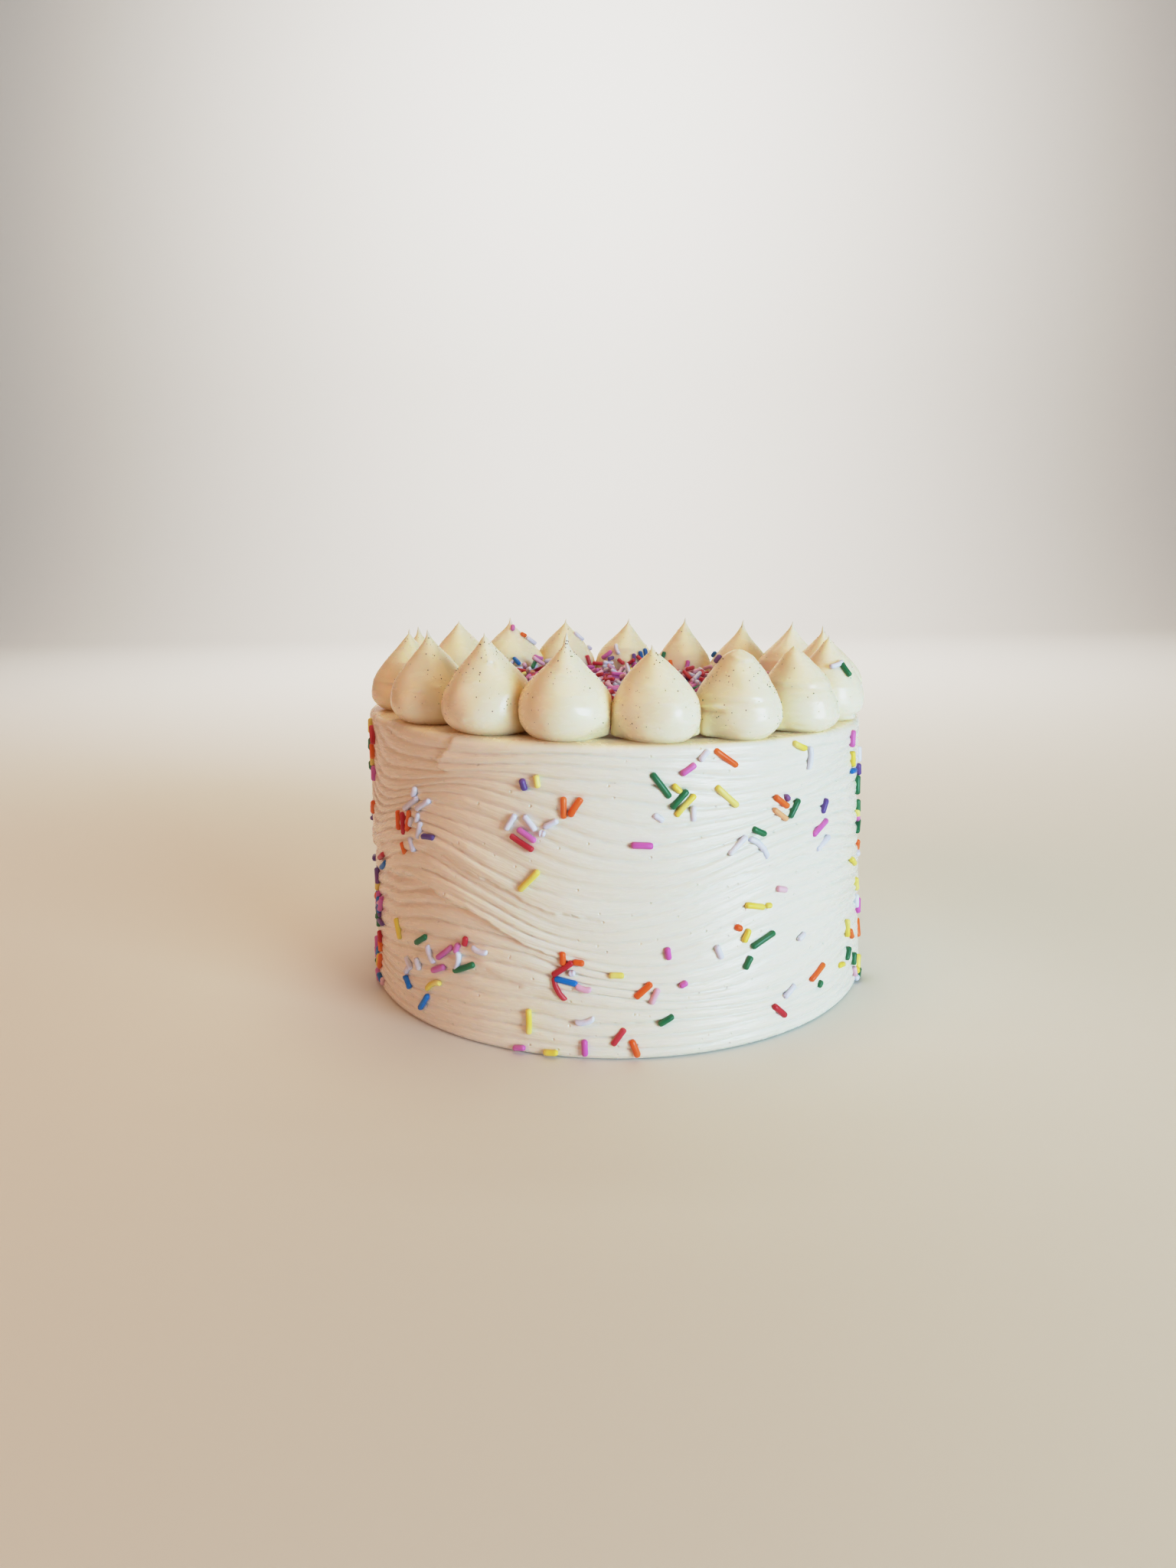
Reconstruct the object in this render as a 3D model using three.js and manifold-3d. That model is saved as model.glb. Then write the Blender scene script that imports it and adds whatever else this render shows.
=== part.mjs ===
// A birthday cake without candles: a round cake under combed buttercream, with a ring of piped
// kisses on its rim, a heap of sugar sprinkles inside the ring and more sprinkles on its side.
// Millimetres, +Z up. The origin is the centre of the flat underside, and -Y is the front.
import * as THREE from "three";
import { mergeVertices } from "three/addons/utils/BufferGeometryUtils.js";
import Module from "manifold-3d";

const wasm = await Module();
wasm.setup();

// ---- Driving dimensions -------------------------------------------------------------------

const CAKE_HEIGHT = 95.6;
const BASE_RADIUS = 91.2; // the side leans in a little from here
const TOP_RADIUS = 87.2; // to here
const BASE_EDGE = 1.4; // rounding where the side meets the underside
const TOP_EDGE = 1.8; // rounding where the side meets the top
const TOP_SLOPE = 0.026; // share by which the top falls towards +X

const RIDGES = 24; // ridges of the icing comb, from base to rim
const RIDGE_DEPTH = 1.15; // crest to groove
const DEPTH_SPREAD = 0.35; // how much deeper or shallower than that they get
const DEPTH_WAVES = 3; // times that the depth swings on its way round
const DEPTH_DRIFT = 11; // millimetres of level that delay this swing by a radian
const SIDE_SEGMENTS = 44;

const WAVES = 4; // times that the comb swings up and down on its way round
const SWING = 7; // largest rise or fall of a ridge
const SWING_TILT = 0.35; // share by which it swings less towards +X and more towards -X
const SWING_LOW = 9; // level under which the ridges run flat
const SWING_HIGH = 94; // level over which they run flat again
const WAVE_START = 0.05; // radians by which the swing comes early at the front
const WAVE_SKEW = 0.2; // radians by which it comes earlier still towards +X
const LAG_LEVEL = 50; // level whose swing comes first; the others come later
const LAG_REACH = 25; // millimetres above or below it that delay the swing by a radian

// Slow unevenness of a side spread by hand: the depth of each wave, how often it goes round,
// where it starts, and the height over which it shifts by a radian.
const BULGES = [
  [0.5, 2, 1, 40],
  [0.35, 5, 0, -23],
];

const KISS_RING_RADIUS = 75.4;
const RING_SHIFT = 1.7; // how far the ring and the heap lie to the +X side of the middle
const GAP = 0.3; // left between separate pieces

const SPRINKLE_RADIUS = 1;
const SPRINKLE_SIDES = 5;
const SPRINKLE_POINT = 0.6; // length of its pointed ends
const LONG_SPRINKLE = 5.4; // shortest of the long ones
const SHORT_SPRINKLE = 2.2; // shortest of the short ones
const LENGTH_SPREAD = 2.8; // how much longer the longest of either kind is
const SPRINKLE_IN_SOLID = 7.4; // shorter ones are left out of the solid, but for the outermost
const PROUD = 0.9; // how far a sprinkle's middle line stands out of the icing

const HEAP_RADIUS = 59.4;
const HEAP_MIDDLE = 5; // height of the heap at its middle
const HEAP_RISE = 3.6; // how much higher it lies against the kisses
const HEAP_SPRINKLES = 14; // that stand out of it, the rest being its rough surface
const HEAP_ROUGHNESS = 1.6; // how much higher or lower its bumps are than each other
const HEAP_SMOOTH = 0.33; // share of its radius over which they grow from its middle
const HEAP_EDGE = 1; // how far its upper edge lies inside its foot
const HEAP_TILT = 0.5; // most radians between two sprinkles on it
const HEAP_PROUD = 0.5; // how far their middle lines lie over it
const HEAP_RINGS = 14;
const HEAP_SEGMENTS = 44;

// Each kiss by its azimuth in degrees, its height, its largest radius, the length of its
// drawn-out tip (or how much of its tip is missing), how slender it is over its waist, the share
// of its height at which that waist is, and how far its tip leans to the middle of the ring and
// to +X as seen from outside. Azimuth 0 is the front, and it grows towards +X.
const KISSES = [
  [7.5, 28.2, 13.2, 1.8, 0.9, 0.3, 0.7, -1.3],
  [27.7, 26.5, 13.2, -4.3, 1.2, 0.23, 0.5, 0.1],
  [48.2, 26.5, 13.4, -0.7, 1, 0.2, 1.6, -0.4],
  [69, 28.5, 12.5, 1.1, 1, 0.26, -0.2, 0.1],
  [91.5, 30.2, 13.8, 2, 1.3, 0.35, 0.6, 0],
  [115, 30, 13.9, 1.6, 1.4, 0.35, -1, -0.6],
  [136.4, 29.2, 13.7, 1.4, 1.55, 0.25, -0.8, -0.9],
  [157, 29.1, 13, 1.6, 1.25, 0.2, 0, -0.9],
  [176.5, 28.1, 13.7, 1.6, 1.25, 0.26, 0.3, -1.6],
  [197, 27.8, 13.5, 1.6, 1.1, 0.28, 0.8, -0.6],
  [216.2, 28.6, 14, 1.5, 1.4, 0.36, 0.4, 0.2],
  [237.1, 28.1, 13.6, 0.6, 1.2, 0.28, -0.1, 0.3],
  [260, 27.2, 13.7, 2.2, 1.35, 0.3, -0.9, 0.3],
  [283, 28.1, 13.4, 1, 1.2, 0.2, 0.5, -0.2],
  [306.5, 29.8, 14, 0.6, 1.4, 0.23, -1.2, -0.6],
  [327.6, 30.3, 14.6, 0.8, 1.15, 0.24, -0.8, -0.9],
  [347, 31.3, 14.2, 3.4, 1.15, 0.29, 0.8, 0.4],
];

// Where the comb was lifted and set down again, one stroke lies over the next: the azimuths
// between which that seam shows, the ridge levels that it runs between, and its thickness.
const SEAMS = [
  [-50, 0, 51.5, 50.5, 1.2],
  [-62, -9, 44, 33.5, 2],
  [-30, -13, 22, 18.5, 0.7],
  [2, 74, 57, 47, 0.9],
  [33, 64, 77, 66, 0.4],
  [40, 82, 33, 34, 0.5],
  [84, 150, 38, 46, 1.2],
  [96, 172, 62, 66, 0.9],
  [160, 226, 50, 44, 1.1],
  [206, 262, 30, 38, 1],
  [232, 296, 60, 54, 1.2],
];
const SEAM_END = 0.33; // share of a seam's half length over which it dies out
const LIP_REACH = 5; // how far up the thicker stroke reaches
const SCRAPE = 0.35; // how deep the icing is scraped under it, as a share of its thickness
const SCRAPE_REACH = 2; // how far down it is scraped

// Sprinkles on the side that faces the front: azimuth in degrees, height, tilt from level in
// degrees, and length.
const FRONT_SPRINKLES = [
  // The left edge
  [-72, 93, 80, 5.5], [-69, 90.5, -70, 6.8], [-73, 86.4, 60, 5], [-70, 84.6, -75, 5.5],
  [-70.5, 81.3, -80, 4.2], [-69.5, 77, -85, 5.5], [-64, 49.7, 26, 6.5], [-62.3, 47.2, 31, 7.2],
  [-70, 40, -75, 6], [-70, 36.5, 80, 4], [-69.5, 32, 60, 6.5], [-68, 31, 25, 3.5],
  [-69.5, 25, 105, 7.2], [-67.5, 18.8, -65, 4.6], [-67, 16, -70, 5], [-71, 11.5, 45, 6],
  [-70, 8.6, 60, 6.6], [-67.5, 9.5, 65, 6.8], [-68, 3.2, -5, 6], [-70.5, 2, -25, 6],
  [-64.9, 3.6, 86, 3],
  // The upper left cluster
  [-45.9, 77.1, 68, 3.8], [-47.3, 73, 32, 9.4], [-43, 73.7, 30, 8], [-52.6, 66.1, -87, 6.6],
  [-50.4, 65.7, -85, 7.6], [-48.3, 67.1, 76, 7.4], [-47.2, 67.1, 69, 3.4], [-44.9, 69, 68, 3.6],
  [-44.1, 65.3, 73, 6], [-41.2, 63.9, 4, 6.2], [-47, 59.8, -64, 5.2], [-50.3, 57.5, -58, 4.4],
  // The lower left cluster
  [-53.6, 28.8, -66, 7.4], [-44.2, 29.2, 33, 7], [-41.2, 25.5, -60, 6.4], [-36.8, 27.9, 38, 9],
  [-33.5, 30.5, 65, 3.8], [-33.4, 26.3, 80, 6.6], [-31.4, 33.3, 78, 3.4], [-28, 31.1, -8, 6],
  [-38.8, 21.7, 25, 6.6], [-31.8, 24.6, 25, 9.2], [-49, 19.1, -51, 4.9], [-49.6, 16.5, 48, 4.4],
  [-45.4, 20.5, -64, 4.4], [-49.7, 12.2, 132, 5], [-40.7, 15.5, -150, 8], [-43.7, 8.2, 53, 7.8],
  // Left of the middle
  [-18.1, 84, -72, 3.8], [-15.4, 85.1, -82, 4], [-20.8, 72.6, 56, 6], [-16.9, 72.7, -49, 5.8],
  [-12.8, 72.8, 28, 5], [-14.5, 69.8, -9, 2.2], [-17.5, 69.1, -32, 6.8], [-18.5, 66.6, -29, 8.4],
  [-10.3, 77.7, -90, 6.6], [-8.1, 78, 57, 6.6], [-17.1, 55.4, 46, 9.2], [-10.8, 32, -88, 4.4],
  [-10.8, 28.8, 36, 8], [-7.8, 30.9, -5, 3.6], [-9.1, 27.6, 9, 2.2], [-10.3, 24.9, -11, 7.4],
  [-11.8, 22.3, -64, 8.2], [-7, 22.9, -15, 5.2], [-17.7, 10.9, -90, 8.2], [-6.7, 12.5, 16, 6.2],
  [-19.8, 1.4, 9, 4.2], [-13.4, 1.4, 4, 4.8], [-6.8, 3.4, -88, 5.4],
  // Right of the middle
  [-0.7, 27.2, 0, 4.6], [21.1, 92.3, -36, 9.2], [16.5, 92, 48, 4.2], [13.3, 88.1, 32, 5.4],
  [7.9, 83.9, -54, 9.2], [11, 82.7, -44, 3.6], [11.5, 79.5, 46, 7.2], [12.6, 77.7, 45, 8.6],
  [14.2, 75, -89, 4.8], [7.4, 74.4, -36, 3.8], [21.2, 79.2, -43, 9.8], [4.3, 66.4, -4, 6.6],
  [28.3, 67.4, -27, 5.6], [23.4, 64.2, 40, 8], [28.4, 62.9, 134, 9.8], [33.7, 48.2, -16, 4.4],
  [27.1, 44.7, -14, 7.2], [30.3, 44, -8, 2.4], [23.3, 38.9, -31, 2.6], [25, 36, 63, 4.6],
  [28.8, 33.7, 21, 9.4], [39.1, 31.1, 29, 3.6], [19.1, 32.3, -69, 4.8], [25.2, 27.5, 58, 4.6],
  [9, 33.4, -82, 4], [11.9, 23.6, 27, 2.8], [4.3, 22.4, 42, 6.8], [6.4, 20.5, 65, 5.4],
  [8.5, 12.8, 29, 5.4], [-0.4, 8, 55, 6.6], [2.6, 3.6, -70, 6],
  // The right
  [34.1, 75.3, -36, 6.8], [35.6, 76.2, -47, 2.4], [37.5, 72.5, 52, 6.8], [33.7, 71.5, -36, 7],
  [47.4, 70.7, 58, 5.2], [45.5, 64.3, 24, 9], [46.6, 59, 22, 8.2], [35.5, 14.6, 34, 5.8],
  [32.8, 9.3, -43, 7], [39.5, 93.3, -24, 6.4], [42.6, 87.1, 84, 7.4], [44.5, 16.8, 26, 8.4],
  [45.5, 12.3, 41, 2.6],
  // The right edge
  [62.5, 88.8, 80, 5.8], [63, 81.8, -83, 5.6], [63.5, 77.7, -5, 5], [71, 76, -80, 4.4],
  [70, 70.8, 80, 6.8], [71.5, 62.8, 88, 5], [71.5, 60, -60, 4], [65, 45.7, -30, 6.6],
  [68.5, 36, -65, 5.6], [70, 29, 80, 5], [59.6, 24.5, 88, 6.4], [62.5, 21, -50, 5],
  [60, 15.2, 50, 5], [65, 10.5, 70, 4.6], [55.6, 13.6, -10, 4.6],
];

// The other sides have clumps of them.
const SPREAD = 3; // how far a clump's second sprinkle lies from its first
const TURN_ON = 64; // degrees from the tilt of one sprinkle in a clump to the next
const EDGE_MARGIN = 0.5; // left between a sprinkle and the rim or the base
const SIDE_CLUMPS = 84;
const SIDE_FROM = 68; // azimuths in degrees between which they lie
const SIDE_TO = 292;
const CLUMP_LOW = 4; // heights between which they lie
const CLUMP_HIGH = 92;
const CLUMP_MOST = 5; // sprinkles in the largest
const LONG_SHARE = 0.6; // share of their sprinkles that are long
const GOLDEN_TURN = 137.5; // degrees
const GOLDEN_SHARE = 0.618034;

// ---- Helpers ------------------------------------------------------------------------------

const radians = (angle) => (angle * Math.PI) / 180;
const degrees = (angle) => (angle * 180) / Math.PI;
const share = (x) => x - Math.floor(x);
const clamp = (x) => Math.min(1, Math.max(0, x));

// A stream of draws from 0 to 1 that is the same every time.
function seededDraws(seed) {
  let state = seed;
  return () => {
    state = (state * 1664525 + 1013904223) % 4294967296;
    return state / 4294967296;
  };
}

// A closed geometry as a manifold solid, and back.
function solidOf(geometry) {
  const bare = geometry.clone();
  bare.deleteAttribute("normal");
  bare.deleteAttribute("uv");
  const merged = mergeVertices(bare, 1e-4);
  const { Manifold, Mesh } = wasm;
  return new Manifold(
    new Mesh({
      numProp: 3,
      vertProperties: new Float32Array(merged.attributes.position.array),
      triVerts: new Uint32Array(merged.index.array),
    }),
  );
}

// The geometry of a solid's outer skin, with any pocket that joining has closed filled in.
function geometryOf(solid) {
  const skins = solid.decompose().sort((a, b) => b.volume() - a.volume());
  const mesh = skins[0].getMesh();
  const geometry = new THREE.BufferGeometry();
  geometry.setAttribute("position", new THREE.BufferAttribute(mesh.vertProperties, 3));
  geometry.setIndex(new THREE.BufferAttribute(mesh.triVerts, 1));
  geometry.computeVertexNormals();
  return geometry;
}

// A turned shape standing on +Z, whose profile runs from the foot of its axis to the top.
// shape(azimuth, row) then gives each point's own radius and height.
function turned(profile, segments, shape) {
  const geometry = new THREE.LatheGeometry(profile, segments).rotateX(Math.PI / 2);
  const position = geometry.attributes.position;
  for (let i = 0; i < position.count; i++) {
    const row = i % profile.length;
    const azimuth = ((Math.floor(i / profile.length) % segments) / segments) * 2 * Math.PI;
    const onAxis = row === 0 || row === profile.length - 1;
    const [radius, height] = shape(azimuth, row);
    const r = onAxis ? 0 : radius;
    position.setXYZ(i, r * Math.sin(azimuth), -r * Math.cos(azimuth), height);
  }
  return geometry;
}

// ---- The combed side ----------------------------------------------------------------------

const radiusAt = (z) => BASE_RADIUS + ((TOP_RADIUS - BASE_RADIUS) * z) / CAKE_HEIGHT;

// How much higher than at its middle the top lies at a distance towards +X.
const topRise = (x) => -TOP_SLOPE * x;

// Height at which the ridge of a level runs past an azimuth.
function ridgeHeight(azimuth, level) {
  const reach = clamp((level - SWING_LOW) / (SWING_HIGH - SWING_LOW));
  const swing = SWING * Math.sin(Math.PI * reach) * (1 - SWING_TILT * Math.sin(azimuth));
  const lag = ((level - LAG_LEVEL) / LAG_REACH) ** 2;
  const phase = WAVES * azimuth + WAVE_SKEW * Math.sin(azimuth) + WAVE_START - lag;
  return level - swing * Math.cos(phase);
}

// Degrees from one azimuth to another, from -180 to 180.
const turnTo = (from, to) => share((to - from) / 360 + 0.5) * 360 - 180;

// How far the seams lift the icing over them and sink it under them.
function seamRelief(azimuth, level) {
  let relief = 0;
  for (const [from, to, levelFrom, levelTo, thickness] of SEAMS) {
    const half = (to - from) / 2;
    const along = turnTo((from + to) / 2, (azimuth * 180) / Math.PI) / half;
    if (Math.abs(along) >= 1) continue;
    const fade = Math.min(1, (1 - Math.abs(along)) / SEAM_END);
    const above = level - (levelFrom + ((levelTo - levelFrom) * (along + 1)) / 2);
    const lip = above > 0 ? Math.exp(-above / LIP_REACH) : -SCRAPE * Math.exp(above / SCRAPE_REACH);
    relief += fade * thickness * lip;
  }
  return relief;
}

const sideBulge = (azimuth, z) =>
  BULGES.reduce(
    (sum, [depth, waves, start, reach]) => sum + depth * Math.sin(waves * azimuth + start + z / reach),
    0,
  );

function cakeGeometry() {
  const pitch = CAKE_HEIGHT / RIDGES;
  const rows = [{ level: 0, inset: BASE_RADIUS }, { level: 0, inset: BASE_EDGE }];
  for (let half = 1; half < 2 * RIDGES; half++) {
    rows.push({ level: (half * pitch) / 2, relief: half % 2 ? 0.5 : -0.5 });
  }
  rows.push({ level: CAKE_HEIGHT, inset: TOP_EDGE });
  rows.push({ level: CAKE_HEIGHT, inset: TOP_RADIUS });
  const profile = rows.map((row) => new THREE.Vector2(row.relief ? 1 : 0.5, row.level));
  profile[0].x = profile[rows.length - 1].x = 0;
  return turned(profile, SIDE_SEGMENTS, (azimuth, i) => {
    const { level, inset, relief } = rows[i];
    const rise = topRise(Math.sin(azimuth)) * (level / CAKE_HEIGHT) ** 2;
    if (inset) {
      const radius = radiusAt(level) - inset;
      return [radius, level + rise * radius];
    }
    const z = ridgeHeight(azimuth, level) + rise * radiusAt(level);
    const spread = DEPTH_SPREAD * Math.sin(DEPTH_WAVES * azimuth + level / DEPTH_DRIFT);
    const depth = RIDGE_DEPTH * (1 + spread);
    const edge = clamp(Math.min(level, CAKE_HEIGHT - level) / pitch);
    const bumps = edge * (sideBulge(azimuth, z) + seamRelief(azimuth, level));
    return [radiusAt(z) + relief * depth + bumps, z];
  });
}

// ---- Sprinkles ----------------------------------------------------------------------------

// A rod with pointed ends along +X.
function sprinkleRod(length) {
  const half = length / 2;
  const shoulder = half - SPRINKLE_POINT;
  const profile = [
    new THREE.Vector2(0, -half),
    new THREE.Vector2(SPRINKLE_RADIUS, -shoulder),
    new THREE.Vector2(SPRINKLE_RADIUS, shoulder),
    new THREE.Vector2(0, half),
  ];
  return new THREE.LatheGeometry(profile, SPRINKLE_SIDES).rotateZ(-Math.PI / 2);
}

// One sprinkle on the side, kept clear of the rim and the base.
function sideSprinkle([azimuth, height, tilt, length]) {
  const angle = radians(tilt);
  const rise = (length / 2) * Math.abs(Math.sin(angle)) + SPRINKLE_RADIUS + EDGE_MARGIN;
  const rim = CAKE_HEIGHT + topRise(TOP_RADIUS * Math.sin(radians(azimuth)));
  const z = Math.min(rim - rise, Math.max(rise, height));
  return { azimuth: radians(azimuth), z, angle, length };
}

// Clumps for the rest of the side, drawn once from a seed. In each the others lie on a spiral
// round the first one.
function sideClumps() {
  const draw = seededDraws(7);
  return Array.from({ length: SIDE_CLUMPS }, (_, i) => {
    const azimuth = SIDE_FROM + ((SIDE_TO - SIDE_FROM) * (i + draw())) / SIDE_CLUMPS;
    const height = CLUMP_LOW + (CLUMP_HIGH - CLUMP_LOW) * share(i * GOLDEN_SHARE);
    const count = 1 + Math.floor(CLUMP_MOST * draw() ** 2);
    const tilt = 180 * draw();
    return Array.from({ length: count }, (_, k) => {
      const turn = radians(k * GOLDEN_TURN + tilt);
      const reach = SPREAD * Math.sqrt(k);
      const shortest = draw() < LONG_SHARE ? LONG_SPRINKLE : SHORT_SPRINKLE;
      const length = shortest + LENGTH_SPREAD * draw();
      const aside = degrees((reach * Math.cos(turn)) / BASE_RADIUS);
      return [azimuth + aside, height + reach * Math.sin(turn), tilt + k * TURN_ON, length];
    });
  }).flat();
}

// A rod set on the side, half sunk in the icing.
function sprinkleOnSide({ azimuth, z, angle, length }) {
  const lean = Math.atan2(BASE_RADIUS - TOP_RADIUS, CAKE_HEIGHT);
  const rod = sprinkleRod(length).rotateY(-angle).rotateX(-lean);
  rod.translate(0, -(radiusAt(z) + sideBulge(azimuth, z) + PROUD), z);
  return rod.rotateZ(azimuth);
}

function cakeSolid() {
  const sprinkles = [...FRONT_SPRINKLES, ...sideClumps()].map(sideSprinkle);
  const outermost = [0, 90, 180, 270].map((side) => {
    const reach = ({ azimuth, z }) => radiusAt(z) * Math.cos(azimuth - radians(side));
    return sprinkles.reduce((most, sprinkle) => (reach(sprinkle) > reach(most) ? sprinkle : most));
  });
  const shown = sprinkles.filter(
    (sprinkle) => sprinkle.length > SPRINKLE_IN_SOLID || outermost.includes(sprinkle),
  );
  return shown.reduce(
    (solid, sprinkle) => solid.add(solidOf(sprinkleOnSide(sprinkle))),
    solidOf(cakeGeometry()),
  );
}

// ---- Kisses -------------------------------------------------------------------------------

// Brings what was made round the middle of the ring to the sloping top of the cake.
function onTop(geometry) {
  geometry.translate(RING_SHIFT, 0, CAKE_HEIGHT + GAP);
  const position = geometry.attributes.position;
  for (let i = 0; i < position.count; i++) {
    position.setZ(i, position.getZ(i) + topRise(position.getX(i)));
  }
  return geometry;
}

const KISS_FOOT = 0.62; // radius of the foot, as a share of the largest

const KISS_OVAL = 0.02; // share by which it is wider across than along
const KISS_CORNERS = 0.015; // share by which it bulges at three places
const WEB_HEIGHT = 7; // height up to which its foot spreads against its neighbours
const WEB_FOOT = 2.5; // height over which it starts to spread
const WEB_TURN = 8; // degrees either side of its flanks within which it does so

const KISS_RINGS = [0, 0.1, 0.3, 0.5, 0.68, 0.84, 0.94, 1]; // as shares of its height
const KISS_SEGMENTS = 12;
const TIP_RADIUS = 1.1; // of a drawn-out tip, where it starts
const TIP_TAPER = 5; // length over which it thins
const TIP_END = 0.25; // radius that it ends with
const BLUNT_ROUNDING = 2.5; // height over which a kiss without a tip is rounded off

// Radius of a kiss at a height, as its bulb gives it and as its drawn-out tip does.
function kissRadius([, height, radius, tip, slender, waist], z) {
  const t = Math.min(1, z / (height - tip));
  const down = (waist - t) / waist;
  const up = (t - waist) / (1 - waist);
  const bulb =
    t < waist
      ? Math.sqrt(1 - (1 - KISS_FOOT ** 2) * down * down)
      : Math.cos((up * Math.PI) / 2) ** slender;
  const blunt = tip < 0 ? 1 - clamp(1 - (height - z) / BLUNT_ROUNDING) ** 2 : 1;
  const point = TIP_END + (TIP_RADIUS - TIP_END) * clamp((height - z) / TIP_TAPER);
  return Math.max(radius * bulb * Math.sqrt(blunt), point);
}

function kissGeometry(index) {
  const [azimuth, height, , , , , lean, sway] = KISSES[index];
  const beside = (step) => KISSES[(index + step + KISSES.length) % KISSES.length][0];
  const half = [1, -1].map((step) => radians(Math.abs(turnTo(azimuth, beside(step))) / 2));
  const rises = [0, ...KISS_RINGS, 1];
  const profile = rises.map((rise, row) => new THREE.Vector2(row % (rises.length - 1) ? 1 : 0, rise));
  const kiss = turned(profile, KISS_SEGMENTS, (turn, row) => {
    const z = rises[row] * height;
    const oval = KISS_OVAL * Math.sin(2 * turn + index);
    const corners = KISS_CORNERS * Math.sin(3 * turn + 2 * index);
    return [kissRadius(KISSES[index], z) * (1 + oval + corners), z];
  });
  // The kiss is moved out to the ring. Its foot spreads against its neighbours, and it is
  // pressed flat where it meets them.
  const position = kiss.attributes.position;
  for (let i = 0; i < position.count; i++) {
    const rise = position.getZ(i) / height;
    const out = KISS_RING_RADIUS - position.getY(i) - lean * rise ** 3;
    const side = position.getX(i) + sway * rise ** 3;
    const limit = out * Math.tan(side > 0 ? half[0] : half[1]) - GAP;
    const turn = degrees(Math.atan2(Math.abs(position.getX(i)), -position.getY(i)));
    const z = position.getZ(i);
    const risen = 1 - Math.exp(-((z / WEB_FOOT) ** 2));
    const web = risen * Math.exp(-(((turn - 90) / WEB_TURN) ** 2) - (z / WEB_HEIGHT) ** 4);
    const spread = Math.abs(side) + web * Math.max(0, limit - Math.abs(side));
    position.setX(i, Math.sign(side) * Math.min(limit, spread));
    position.setY(i, -out);
  }
  return onTop(kiss.rotateZ(radians(azimuth)));
}

// ---- The heap of sprinkles ----------------------------------------------------------------

const heapHeight = (radius) => HEAP_MIDDLE + HEAP_RISE * (radius / HEAP_RADIUS) ** 3;

// A number from 0 to 1 that looks drawn by lot and is the same for the same two whole numbers.
const scatter = (a, b) => share(Math.sin(a * 12.9898 + b * 78.233) * 43758.5453);

function heapCore() {
  const rings = Array.from({ length: HEAP_RINGS }, (_, i) => (HEAP_RINGS - i) / HEAP_RINGS);
  const shares = [0, 1, ...rings, 0];
  const profile = shares.map((reach) => new THREE.Vector2(reach ? 1 : 0, reach));
  return turned(profile, HEAP_SEGMENTS, (azimuth, row) => {
    const radius = shares[row] * HEAP_RADIUS;
    if (row < 2) return [radius, 0];
    const column = Math.round((azimuth * HEAP_SEGMENTS) / (2 * Math.PI));
    const roughness = HEAP_ROUGHNESS * clamp(shares[row] / HEAP_SMOOTH);
    const bump = roughness * (scatter(column, row) - 0.5);
    return [radius - (row === 2 ? HEAP_EDGE : 0), heapHeight(radius) + bump];
  });
}

function heapGeometry() {
  const draw = seededDraws(21);
  let solid = solidOf(heapCore());
  for (let i = 0; i < HEAP_SPRINKLES; i++) {
    const length = LONG_SPRINKLE + LENGTH_SPREAD * draw();
    const reach = HEAP_RADIUS - HEAP_EDGE - length / 2;
    const radius = reach * Math.sqrt((i + 0.5) / HEAP_SPRINKLES);
    const rod = sprinkleRod(length);
    rod.rotateY((draw() - 0.5) * HEAP_TILT).rotateZ(draw() * Math.PI);
    rod.translate(0, -radius, heapHeight(radius) + HEAP_PROUD).rotateZ(radians(i * GOLDEN_TURN));
    solid = solid.add(solidOf(rod));
  }
  return onTop(geometryOf(solid));
}

// ---- The parts as a scene -----------------------------------------------------------------

const buttercream = new THREE.MeshStandardMaterial({ color: 0xf3ead2, roughness: 0.5 });
const pipedCream = new THREE.MeshStandardMaterial({ color: 0xf3e6c4, roughness: 0.4 });
const sugar = new THREE.MeshStandardMaterial({ color: 0xc2587c, roughness: 0.35 });

function named(name, geometry, material) {
  const mesh = new THREE.Mesh(geometry, material);
  mesh.name = name;
  return mesh;
}

const cake = new THREE.Group();
cake.add(named("frosted_cake", geometryOf(cakeSolid()), buttercream));
cake.add(named("sprinkle_heap", heapGeometry(), sugar));
KISSES.forEach((_, i) => {
  cake.add(named(`kiss_${String(i + 1).padStart(2, "0")}`, kissGeometry(i), pipedCream));
});

export default cake;
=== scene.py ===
# %% [markdown]
# # A birthday cake with piped kisses
#
# The real object is a round layer cake under ivory buttercream. An icing comb has drawn ridges
# round its side, seventeen buttercream kisses stand on its rim, a heap of sugar sprinkles fills
# the ring, and more sprinkles were thrown at the side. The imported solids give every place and
# size. This lesson makes the fine surface over them: a mesh for the combed icing, one for each
# kiss, and one for each colour of sprinkle.

# %% The frame
import math
from collections import namedtuple

import bmesh
import bpy
import numpy as np
from mathutils import Matrix, Vector, noise


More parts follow.
